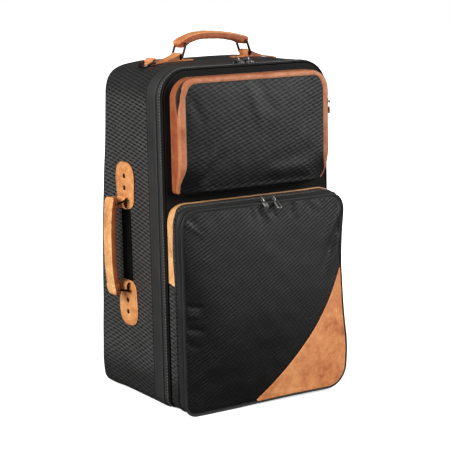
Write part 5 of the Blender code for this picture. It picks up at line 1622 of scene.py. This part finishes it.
def strap(piece, handles, place, low, high, half_width):
    """Flat leather strap: (u, v w(u), h), with h falling off at its rounded edges."""
    u = low + (high - low) * (0.5 - 0.5 * np.cos(np.linspace(0, math.pi, 46)))
    v = np.sin(np.linspace(-QUARTER, QUARTER, 17))[:, None]
    ends = np.abs(2 * (u - low) / (high - low) - 1) ** 30
    thick = handles.strap * (1 - 0.42 * np.abs(v) ** 7) * (1 - 0.25 * ends)[None]
    waves = 0.00022 * ripples(u[None], v * 0.02, 0.02, 81)
    up = thick + waves * (1 - np.abs(v) ** 4) - 0.00035 * bell(np.abs(v), 0.72, 0.07)
    across = v * half_width(u)[None]
    outer = place(u, across, up)
    piece.slab(outer, place(u, across, 0.0), rim_uv(outer, 0.0012), 0, 1)


def curl(piece, handles, place, centre, half_width, way, tall=0.0, long=0.0):
    """Rolled strap end: a wall ((R + long) cos t, (R + tall) sin t) round the ring's bar."""
    first, last = -40, 222
    angle = np.radians(np.linspace(first, last, 30))[:, None]
    v = np.concatenate([[-1, -0.985, -0.93], np.linspace(-0.85, 0.85, 9), [0.93, 0.985, 1]])
    shrink = np.array([0.80, 0.92, 0.985] + [1.0] * 9 + [0.985, 0.92, 0.80])
    radius = handles.roll * (1 - 0.04 * np.cos(3 * angle)) * shrink[None]
    across = v * half_width
    outer, inner = (
        place(centre + way * (size + long) * np.cos(angle), across,
              handles.roll_height + (size + tall * (np.sin(angle) > 0)) * np.sin(angle))
        for size in (radius, handles.roll - 0.0016))
    piece.slab(outer, inner, rim_uv(outer, 0.0009, False, True), 0, 2)
    # a dark sheet just inside the roll: painted shade in its hollow
    inward = inner[:, 1:-1] + (outer[:, 1:-1] - inner[:, 1:-1]) * -0.02
    piece.grid(inward, None, 1)
    # the feet that carry the roll down to the strap
    share = np.linspace(0, 1, 6)[:, None]
    for side, tilt in ((1, first), (-1, last)):
        turn = math.radians(tilt)
        start = centre + way * (handles.roll + long) * math.cos(turn)
        height = handles.roll_height + handles.roll * math.sin(turn)
        end = centre + way * side * (handles.roll + long + 0.0004)
        u = start + (end - start) * share
        up = height + (handles.strap * 0.8 - height) * share
        lower = place(u - way * side * 0.0016, across, np.maximum(up - 0.0006, 0.0002))
        piece.slab(place(u, across, up), lower, None, 0, 2)


def ramp(piece, handles, place, near, far, height, half_width, far_width):
    """Leather that falls from a roll to its strap: w = low + (high - low) (1 - s)^1.7."""
    share = np.linspace(0, 1, 20)[:, None]
    v = np.concatenate([[-1.0, -0.97, -0.9], np.linspace(-0.75, 0.75, 7), [0.9, 0.97, 1.0]])[None]
    low = handles.strap * 0.6
    up = low + (height - low) * (1 - share) ** 1.7 - 0.0008 * np.abs(v) ** 8 * (1 - share)
    wide = half_width + (far_width - half_width) * share
    u = near + (far - near) * share
    outer = place(u, v * wide, up)
    inner = place(u, v * wide, low * 0.5)
    piece.slab(outer, inner, rim_uv(outer, 0.0009, False, True), 0, 1)


def bar_ring(pivot, bar, half_width):
    """Rectangular wire ring round two bars across Y, with rounded corners."""
    along = unit(bar - pivot)
    length = np.linalg.norm(bar - pivot)
    flat = rounded_loop([(0, -half_width), (length, -half_width), (length, half_width),
                         (0, half_width)], [RING_CORNER] * 4)
    return in_plane(pivot, along, flat)


def in_plane(pivot, along, flat):
    """Points of a flat loop that lies along a direction and Y, and the loop's normal."""
    points = pivot + flat[:, :1] * along + flat[:, 1:] * np.array([0, 1, 0])
    return points, np.cross(along, (0, 1, 0))


def wire(name, loop, radius, node, finish, slot):
    """A ring of round wire along a closed loop of points."""
    points, normal = loop
    points = thinned(points)
    along = run_along(points)
    at = np.unique(np.concatenate([along, np.linspace(0, along[-1], 60)]))
    at = at[np.concatenate([[True], np.diff(at) > 1e-5])]
    dense = sample(at, along, points)
    dense[-1] = dense[0]
    piece = Piece(name, finish)
    piece.grid(tube_rows(dense, radius, normal, 12, True))
    piece.finish(node, (node,), slot)


def grip(name, handles, place, bar_u, bar_w, reach, rise, skew, finish):
    """Bowed grip: a rounded oblong carried along w = rise (1 - |u / bar|^2.7)(1 - skew u / bar).

    A seam runs along both narrow sides, and each end has an eyelet round the ring's bar.
    """
    share = np.linspace(-1, 1, 111)
    along = (bar_u + reach) * np.sin(share * QUARTER)
    lean = np.minimum(np.abs(along) / bar_u, 1.12)
    bow = rise * (1 - lean ** 2.7) * (1 - skew * along / bar_u) + 0.0012
    slope = np.gradient(bow, along)
    length = np.sqrt(1 + slope ** 2)
    from_end = np.clip((bar_u + reach - np.abs(along)) / reach, 0, 1)
    swell = 0.64 + 0.36 * np.sqrt(np.clip(1 - (1 - from_end) ** 2, 0, 1))
    angle = np.linspace(0, TURN, 41)
    cosine, sine = np.cos(angle), np.sin(angle)
    cosine[20], sine[[0, 20, 40]] = -1, 0
    wide, thick = blunt(cosine, 0.36), blunt(sine, 0.42)
    sleeve = 1 - 0.09 * (1 - smooth_step(np.abs(along), bar_u * 0.885, bar_u * 0.90))
    half_width, half_thickness = handles.grip_width / 2, handles.grip_thickness / 2
    across = wide[None] * half_width * (swell * sleeve)[:, None]
    lift = thick[None] * half_thickness * (swell * sleeve)[:, None]
    dent = 0.00030 * ripples(along[:, None], across, 0.020, 91)
    groove = 0.0005 * bell(np.abs(across), handles.grip_width * 0.37, 0.0008)
    lift = lift * (1 + (dent - groove) / half_thickness)
    u = along[:, None] - lift * (slope / length)[:, None]
    w = bar_w + bow[:, None] + lift / length[:, None]
    rows = place(u, across, w)
    ends = [np.repeat(rows[index].mean(axis=0)[None, None], 41, axis=1) for index in (0, -1)]
    piece = Piece(name + "_leather", finish, "leather_side", "tan_thread", "black_metal")
    middle = (angle[1:] + angle[:-1]) / 2
    # darker leather on both narrow sides up to a little above their middle: edge stain with painted
    # shade where they face away from the light
    dark = (np.abs(np.cos(middle)) > 0.74) & (np.sin(middle) < 0.30)
    piece.grid(np.concatenate([ends[0], rows, ends[1]]), None,
               np.tile(dark.astype(int), len(rows) + 1))
    inner = np.abs(along) < bar_u * 0.87
    for sign in (-1, 1):
        for top in (-1, 1):
            column = int(np.argmin(np.abs(wide - sign * 0.74) + 4 * (thick * top < 0)))
            line = rows[inner, column]
            facing = unit(line - place(along, 0.0, bar_w + bow)[inner])
            piece.stitches(line + facing * 0.0001, facing, 0.0040, 2, (0.0029, 0.0007, 0.0007))
    turn = np.linspace(0, TURN, 25)
    profile = ((0.0019, 0.0), (0.0019, 0.0008), (0.0025, 0.0011), (0.0032, 0.0006),
               (0.0034, -0.0010))
    for end in (-1, 1):
        for side in (-1, 1):
            rings = [place(end * bar_u + radius * np.cos(turn),
                           side * (half_width * 0.90 + out),
                           bar_w + radius * np.sin(turn)) for radius, out in profile]
            hub = place(end * bar_u + 0 * turn, side * handles.grip_width * 0.40 + 0 * turn,
                        bar_w + 0 * turn)
            piece.grid(np.array([hub, *rings, hub]), None, 3)
    piece.finish(name, (name,), "tan_leather")


class CASE_OT_top_handle(bpy.types.Operator):
    """Make the top handle: straps with rolls, rings, the grip and the shoulder strap's ring"""
    bl_idname = "case.top_handle"
    bl_label = "Top handle"

    def execute(self, context):
        handles = context.scene.case_handles
        pitch = context.scene.case_sizes.stitch_pitch
        low, high = 0.039, 0.127

        def half_width(u):
            near = np.minimum(np.abs(u) - low, high - np.abs(u))
            lean = 1 - np.clip(near / 0.013, 0, 1)
            return 0.013 * (0.30 + 0.70 * np.sqrt(np.clip(1 - lean ** 2, 0, 1)))
        for word, sign, rolls, seam_end in (("right", 1, (TOP_PIVOT,), 0.1190),
                                            ("left", -1, (-TOP_PIVOT, STRAP_RING_X), 0.1080)):
            piece = Piece(f"top_strap_{word}", "tan_leather", "leather_edge", "leather_rim",
                          "tan_thread")
            strap(piece, handles, raised_place, *sorted((sign * low, sign * high)), half_width)
            for centre in rolls:
                tall = 0.0024 if abs(centre) == TOP_PIVOT else 0.0
                curl(piece, handles, raised_place, centre, 0.0132, -sign, tall)
            start = sign * (TOP_PIVOT + handles.roll * 0.7)
            ramp(piece, handles, raised_place, start, sign * 0.1060, 0.0118, 0.0132, 0.0126)
            for side in (-1, 1):
                for part in ((0.0445, 0.0600), (0.0755, seam_end)):
                    u = sign * np.linspace(*part, 12)
                    line = raised_place(u, side * (half_width(u) - 0.0026), handles.strap + 0.0001)
                    piece.stitches(line, (0, 0, 1), pitch, 3)
            piece.finish("tub", (f"top_anchor_{word}",), "tan_leather")
            loop = bar_ring(raised_place(sign * TOP_PIVOT, 0.0, handles.roll_height),
                            raised_place(sign * TOP_BAR, 0.0, TOP_BAR_HEIGHT),
                            handles.ring_width / 2)
            wire(f"top_wire_ring_{word}", loop, handles.wire, f"top_ring_{word}", "dark_bronze",
                 "dark_bronze")
        grip("top_grip", handles, raised_place, TOP_BAR, TOP_BAR_HEIGHT, 0.007, 0.0102, 0.28,
             "tan_leather")
        droop = math.radians(26)
        out = np.array([-math.cos(droop), 0, -math.sin(droop)])
        half = handles.ring_width / 2
        flat = rounded_loop([(0, -half), (0.020, -half * 0.8), (0.020, half * 0.8), (0, half)],
                            [RING_CORNER, 0.010, 0.010, RING_CORNER])
        loop = in_plane(raised_place(STRAP_RING_X, 0.0, handles.roll_height), out, flat)
        wire("shoulder_strap_ring", loop, handles.wire, "strap_ring", "smoky_nickel", "nickel")
        return {"FINISHED"}


# Side screws, as radius and height: a washer, and a domed head
WASHER = ((0.0, 0.0), (0.0041, 0.0), (0.0042, 0.0003), (0.0039, 0.00045), (0.0, 0.00045))
SCREW_HEAD = ((0.0, 0.0003), (0.0028, 0.0003), (0.0028, 0.0008), (0.0024, 0.0012),
              (0.0015, 0.0015), (0.0007, 0.0016), (0.0, 0.0016))


def plate_half_width(u):
    """The side plates' outline: a blunt tip, then a full round end."""
    low, high, full, neck = 0.061, 0.1395, 0.0315, 0.0290
    reach = np.abs(u)
    share = np.clip((reach - low) / (SIDE_PIVOT - low), 0, 1)
    tip = neck * (0.30 + 0.70 * np.sqrt(1 - (1 - share) ** 2))
    wide = tip + (full - neck) * smooth_step(reach, SIDE_PIVOT, SIDE_PIVOT + 0.033)
    lean = np.clip((reach - (high - full)) / full, 0, 1)
    return wide * (0.10 + 0.90 * np.clip(1 - lean ** 2.6, 0, 1) ** 0.42)


class CASE_OT_side_handle(bpy.types.Operator):
    """Make the side handle: leather plates, webbing, screws, rings and the grip"""
    bl_idname = "case.side_handle"
    bl_label = "Side handle"

    def execute(self, context):
        handles = context.scene.case_handles
        pitch = context.scene.case_sizes.stitch_pitch
        for word, sign in (("lower", -1), ("upper", 1)):
            piece = Piece(f"side_plate_{word}", "leather_plate", "leather_edge", "leather_rim",
                          "tan_thread")
            strap(piece, handles, side_place, *sorted((sign * 0.061, sign * 0.1395)),
                  plate_half_width)
            curl(piece, handles, side_place, sign * 0.0718, 0.0134, -sign, 0.0014, 0.0058)
            for side in (-1, 1):
                u = sign * np.linspace(0.0640, 0.1360, 60)
                line = side_place(u, side * np.maximum(plate_half_width(u) - 0.0030, 0.001),
                                  handles.strap + 0.0001)
                piece.stitches(line, (-1, 0, 0), pitch, 3)
            piece.finish("tub", (f"side_anchor_{word}",), "tan_leather")
            for level, reach in (("inner", 0.096), ("outer", 0.116)):
                self.screw(f"{word}_{level}", sign * reach, handles.strap + 0.00005)
            loop = bar_ring(side_place(sign * SIDE_PIVOT, 0.0, handles.roll_height),
                            side_place(sign * SIDE_BAR, 0.0, SIDE_BAR_HEIGHT),
                            handles.ring_width / 2)
            wire(f"side_wire_ring_{word}", loop, handles.wire, f"side_ring_{word}",
                 "dark_bronze", "dark_bronze")
        # the side grip takes the pale leather: painted light on its face towards the key light
        grip("side_grip", handles, side_place, SIDE_BAR, SIDE_BAR_HEIGHT, 0.010, 0.005, 0.0,
             "leather_pale")
        across = np.linspace(-1, 1, 31)
        ribs = 0.0011 + 0.00010 * np.cos(across * 8 * math.pi) - 0.0004 * np.abs(across) ** 12
        u, v = np.meshgrid(np.linspace(-0.0607, 0.0607, 60), across * 0.015, indexing="ij")
        # near-black webbing: its own black, with painted shadow of the grip over it
        web = Piece("side_webbing_strip", "webbing_weave")
        web.slab(side_place(u, v, ribs), side_place(u, v, 0.0), together(v, u))
        web.finish("tub", ("side_webbing",), "webbing")
        return {"FINISHED"}

    def screw(self, name, along, base):
        """Domed screw head with a slot across it, on a thin washer."""
        turn = np.linspace(0, TURN, 33)
        piece = Piece(f"side_screw_{name}_head", "black_metal", "dark_bronze")
        for slot, profile in enumerate((WASHER, SCREW_HEAD)):
            rings = []
            for radius, up in profile:
                u, v = radius * np.sin(turn), radius * np.cos(turn)
                notch = 0.0005 * (np.abs(v) < 0.0004) * (up > 0.001)
                rings.append(side_place(along + u, v, base + up - notch))
            piece.grid(np.array(rings), None, slot)
        piece.finish("tub", (f"side_screw_{name}",), "black_metal")


# Zip sliders

# A slider's body: its sections as shares of its outline and of its height
SLIDER_SECTIONS = ((0, 0.0), (0.93, 0.0), (1.0, 0.09), (1.0, 0.60), (0.95, 0.78), (0.80, 0.89),
                   (0.45, 0.98), (0, 1.0))


def slider(name, zips, seat, travel, up, across_travel=False, bridge=None):
    """Slider: a rounded, tapered body, and an arched bridge that carries the pull.

    Gives the top of the bridge, round which the pull's loop lies.
    """
    seat, travel, up = (np.array(value, dtype=float) for value in (seat, travel, up))
    side = np.cross(up, travel)
    bridge = bridge or zips.bridge
    tall = bridge - 0.0041
    turn = np.linspace(0, TURN, 37)
    long = blunt(np.cos(turn), 0.55) * zips.body / 2
    taper = 1 - 0.28 * np.clip(long / (zips.body / 2), 0, 1)
    wide = blunt(np.sin(turn), 0.6) * zips.width / 2 * taper
    piece = Piece(f"{name}_body", "black_metal")
    piece.grid(np.array([seat + (long * share)[:, None] * travel + (wide * share)[:, None] * side
                         + height * tall * up for share, height in SLIDER_SECTIONS]))
    reach = side if across_travel else travel
    angle = np.linspace(0, math.pi, 25)
    rise = tall * 0.8 + (bridge - tall * 0.8) * np.sin(angle) ** 0.55
    points = seat + (-np.cos(angle) * 0.0040)[:, None] * reach + rise[:, None] * up
    points[[0, -1]] -= 0.0008 * up
    piece.grid(tube_rows(points, 0.0009, np.cross(reach, up), 10))
    piece.finish(name, (name,), "black_metal")
    return seat + up * bridge


def pull(name, pivot, hinge, out, length, wide=1.0, dark=0):
    """Pull: a wire loop round the bridge, then a tab with a sunk middle and a rounded end."""
    hinge, out = np.array(hinge, dtype=float), np.array(out, dtype=float)
    flat_normal = np.cross(hinge, out)
    piece = Piece(f"{name}_tab", "nickel", "black_metal")
    loop = rounded_loop([(-0.0020, -0.0024), (0.0090, -0.0024), (0.0090, 0.0024),
                         (-0.0020, 0.0024)], [0.0017] * 4)
    points = pivot + loop[:, :1] * out + loop[:, 1:] * flat_normal
    piece.grid(tube_rows(thinned(points), 0.0008, hinge, 10, True))
    start, near_width, far_width = 0.0084, 0.0052, 0.0062
    share = np.linspace(0, 1, 22)
    width = (near_width + (far_width - near_width) * share) / 2 * wide
    width = width * np.sqrt(np.clip(1 - np.abs(2 * share - 1) ** 9, 0.02, 1))
    turn = np.linspace(0, TURN, 33)
    across = blunt(np.cos(turn), 0.5)
    inside = smooth_step(share, 0.12, 0.22) * smooth_step(share, 0.92, 0.80)
    sunk = 1 - 0.45 * inside[:, None] * smooth_step(np.abs(across), 0.62, 0.45)[None]
    height = 0.0008 * blunt(np.sin(turn), 0.6)[None] * sunk
    along = (start + (length - start) * share)[:, None]
    rows = (pivot + along[..., None] * out + (width[:, None] * across[None])[..., None] * hinge
            + height[..., None] * flat_normal)
    ends = [np.repeat(rows[index].mean(axis=0)[None, None], 33, axis=1) for index in (0, -1)]
    inlay = dark * np.pad((sunk[:-1, :-1] < 0.9).astype(int), ((1, 1), (0, 0)))
    piece.grid(np.concatenate([ends[0], rows, ends[1]]), None, inlay.ravel())
    piece.finish(name, (name,), "nickel")


def down(degrees):
    """The direction forward and down by an angle."""
    droop = math.radians(degrees)
    return (0, -math.cos(droop), -math.sin(droop))


class CASE_OT_sliders(bpy.types.Operator):
    """Make the sliders and pulls of all three zips"""
    bl_idname = "case.sliders"
    bl_label = "Sliders and pulls"

    def execute(self, context):
        zips = context.scene.case_zips
        for word, x, way in (("left", -0.007, -1), ("right", 0.012, 1)):
            pivot = slider(f"main_slider_{word}", zips, (x, ZIP_Y, 0.5603), (way, 0, 0), (0, 0, 1))
            pull(f"main_pull_{word}", pivot, (1, 0, 0), down(15), 0.023)
        seat_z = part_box("lower_slider_left")[0].z + 0.003
        for word, x, way, length, dark in (("left", -0.002, -1, 0.021, 0),
                                           ("right", 0.020, 1, 0.028, 1)):
            pivot = slider(f"lower_slider_{word}", zips, (x, FRONT_Y - TAPE_END, seat_z),
                           (way, 0, 0), (0, 0, 1), False, LOWER_PULL_Z - seat_z)
            pull(f"lower_pull_{word}", pivot, (1, 0, 0), down(34), length, 1.45, dark)
        pivot = slider("upper_slider", zips, (0.1439, -0.1319, 0.49), (0, 0, -1), (1, 0, 0), True,
                       0.0079)
        pull("upper_pull", pivot, (0, 1, 0), (0, 0, -1), 0.020)
        return {"FINISHED"}


# Stage

# The camera that was fitted to the photo: its directions, place and lens
CAMERA_RIGHT = (0.84965391, -0.52690267, -0.02148994)
CAMERA_UP = (0.11054869, 0.13812259, 0.98422616)
CAMERA_FORWARD = (0.51562314, 0.83862729, -0.1756048)
CAMERA_PLACE = (-1.35506, -2.24121, 0.74394)
CAMERA_LENS, SENSOR_WIDTH = 123.35, 36.0


class CASE_OT_stage(bpy.types.Operator):
    """Make the pale floor, the soft studio light and the camera"""
    bl_idname = "case.stage"
    bl_label = "Stage"

    def execute(self, context):
        scene = context.scene
        studio = scene.case_studio
        scene.view_settings.view_transform = "Standard"
        self.world(scene, studio)
        self.floor(scene)
        for name, place, target, power, size in (
                ("key_light", (-2.6, -0.9, 1.5), (0, 0, 0.25), studio.key, 1.8),
                ("fill_light", (2.2, -1.7, 1.7), (0, 0, 0.3), studio.fill, 1.5),
                ("sheen_light", (1.95, -1.86, 0.70), (0.1, -0.17, 0.35), studio.sheen, 0.9),
                ("top_light", (-0.2, -0.2, 2.6), (0, 0, 0.3), studio.top, 1.8)):
            lamp = bpy.data.lights.new(name, "AREA")
            lamp.shape = "RECTANGLE"
            lamp.size = lamp.size_y = size
            lamp.energy = power
            made = bpy.data.objects.new(name, lamp)
            made.location = place
            facing = Vector(target) - Vector(place)
            made.rotation_euler = facing.to_track_quat("-Z", "Y").to_euler()
            scene.collection.objects.link(made)
        camera = bpy.data.cameras.new("camera")
        camera.lens = CAMERA_LENS
        camera.sensor_width = SENSOR_WIDTH
        made = bpy.data.objects.new("camera", camera)
        made.matrix_world = Matrix([
            (CAMERA_RIGHT[axis], CAMERA_UP[axis], -CAMERA_FORWARD[axis], CAMERA_PLACE[axis])
            for axis in range(3)] + [(0, 0, 0, 1)])
        scene.collection.objects.link(made)
        scene.camera = made
        return {"FINISHED"}

    def world(self, scene, studio):
        """White where the camera looks, and an even dimmer light for the rest."""
        world = bpy.data.worlds.new("studio")
        world.use_nodes = True
        tree = world.node_tree
        tree.nodes.clear()
        rays = put(tree, "LightPath")
        seen = rays["Is Camera Ray"].calc("MAXIMUM", rays["Is Transmission Ray"])
        white = put(tree, "Background", {"Color": (1, 1, 1, 1), "Strength": 1.0})[0]
        level = (1.0 - rays["Is Glossy Ray"] * 0.5) * studio.ambient
        even = put(tree, "Background", {"Color": (1, 1, 1, 1), "Strength": level})[0]
        mixed = put(tree, "MixShader", {0: seen, 1: even, 2: white})[0]
        put(tree, "OutputWorld", {"Surface": mixed})
        scene.world = world

    def floor(self, scene):
        """Large pale disc: its own white for the camera, and a soft shadow under the case."""
        made = bpy.data.materials.new("pale_floor")
        made.use_nodes = True
        tree = made.node_tree
        shader = tree.nodes["Principled BSDF"]
        shader.inputs["Roughness"].default_value = 0.7
        shader.inputs["Specular IOR Level"].default_value = 0.2
        rays = put(tree, "LightPath")
        seen = rays["Is Camera Ray"]
        other = rays["Is Glossy Ray"].mix((0.42, 0.42, 0.42), (0.05, 0.05, 0.05))
        feed(shader.inputs["Base Color"], seen.mix(other, (0.86, 0.86, 0.86)))
        place = put(tree, "TexCoord")["Object"]
        away = put(tree, "VectorMath", {0: place}, operation="LENGTH")[1]
        power = away.stretch(0.30, 1.10, 0.60, 1.6)
        glow = put(tree, "Emission", {"Color": (1, 1, 1, 1), "Strength": power})[0]
        none = put(tree, "Emission", {"Color": (0, 0, 0, 1), "Strength": 0.0})[0]
        light = put(tree, "MixShader", {0: seen, 1: none, 2: glow})[0]
        total = put(tree, "AddShader", {0: Signal(tree, shader.outputs[0]), 1: light})[0]
        feed(tree.nodes["Material Output"].inputs["Surface"], total)
        turn = np.linspace(0, TURN, 97)[:-1]
        ring = np.stack([12 * np.cos(turn), 12 * np.sin(turn), np.full(96, -0.0004)], axis=1)
        mesh = bpy.data.meshes.new("floor")
        mesh.from_pydata(ring.tolist(), [], [list(range(96))])
        mesh.materials.append(made)
        plane = bpy.data.objects.new("floor", mesh)
        scene.collection.objects.link(plane)


class CASE_PT_sidebar(bpy.types.Panel):
    """Lists the pieces of the case and their sizes"""
    bl_label = "Soft trumpet case"
    bl_idname = "CASE_PT_sidebar"
    bl_space_type = "VIEW_3D"
    bl_region_type = "UI"
    bl_category = "Case"

    def draw(self, context):
        for key in GROUPS:
            box = self.layout.box()
            group = getattr(context.scene, key)
            for name in group.__annotations__:
                box.prop(group, name)
        for operator in OPERATORS:
            self.layout.operator(operator.bl_idname)


GROUPS = {"case_sizes": CaseSizes, "case_pockets": PocketSizes, "case_handles": HandleSizes,
          "case_zips": ZipSizes, "case_finishes": Finishes, "case_studio": StudioSettings}
OPERATORS = (CASE_OT_stage, CASE_OT_tub, CASE_OT_padding, CASE_OT_lid, CASE_OT_hinge, CASE_OT_zips,
             CASE_OT_lower_pocket, CASE_OT_upper_pocket, CASE_OT_top_handle, CASE_OT_side_handle,
             CASE_OT_sliders)


def register():
    for kind in (*GROUPS.values(), *OPERATORS, CASE_PT_sidebar):
        bpy.utils.register_class(kind)
    for key, kind in GROUPS.items():
        setattr(bpy.types.Scene, key, PointerProperty(type=kind))


def unregister():
    for key in GROUPS:
        delattr(bpy.types.Scene, key)
    for kind in (CASE_PT_sidebar, *reversed(OPERATORS), *reversed(GROUPS.values())):
        bpy.utils.unregister_class(kind)


def main():
    register()
    for operator in OPERATORS:
        family, name = operator.bl_idname.split(".")
        getattr(getattr(bpy.ops, family), name)()


if __name__ == "__main__":
    main()
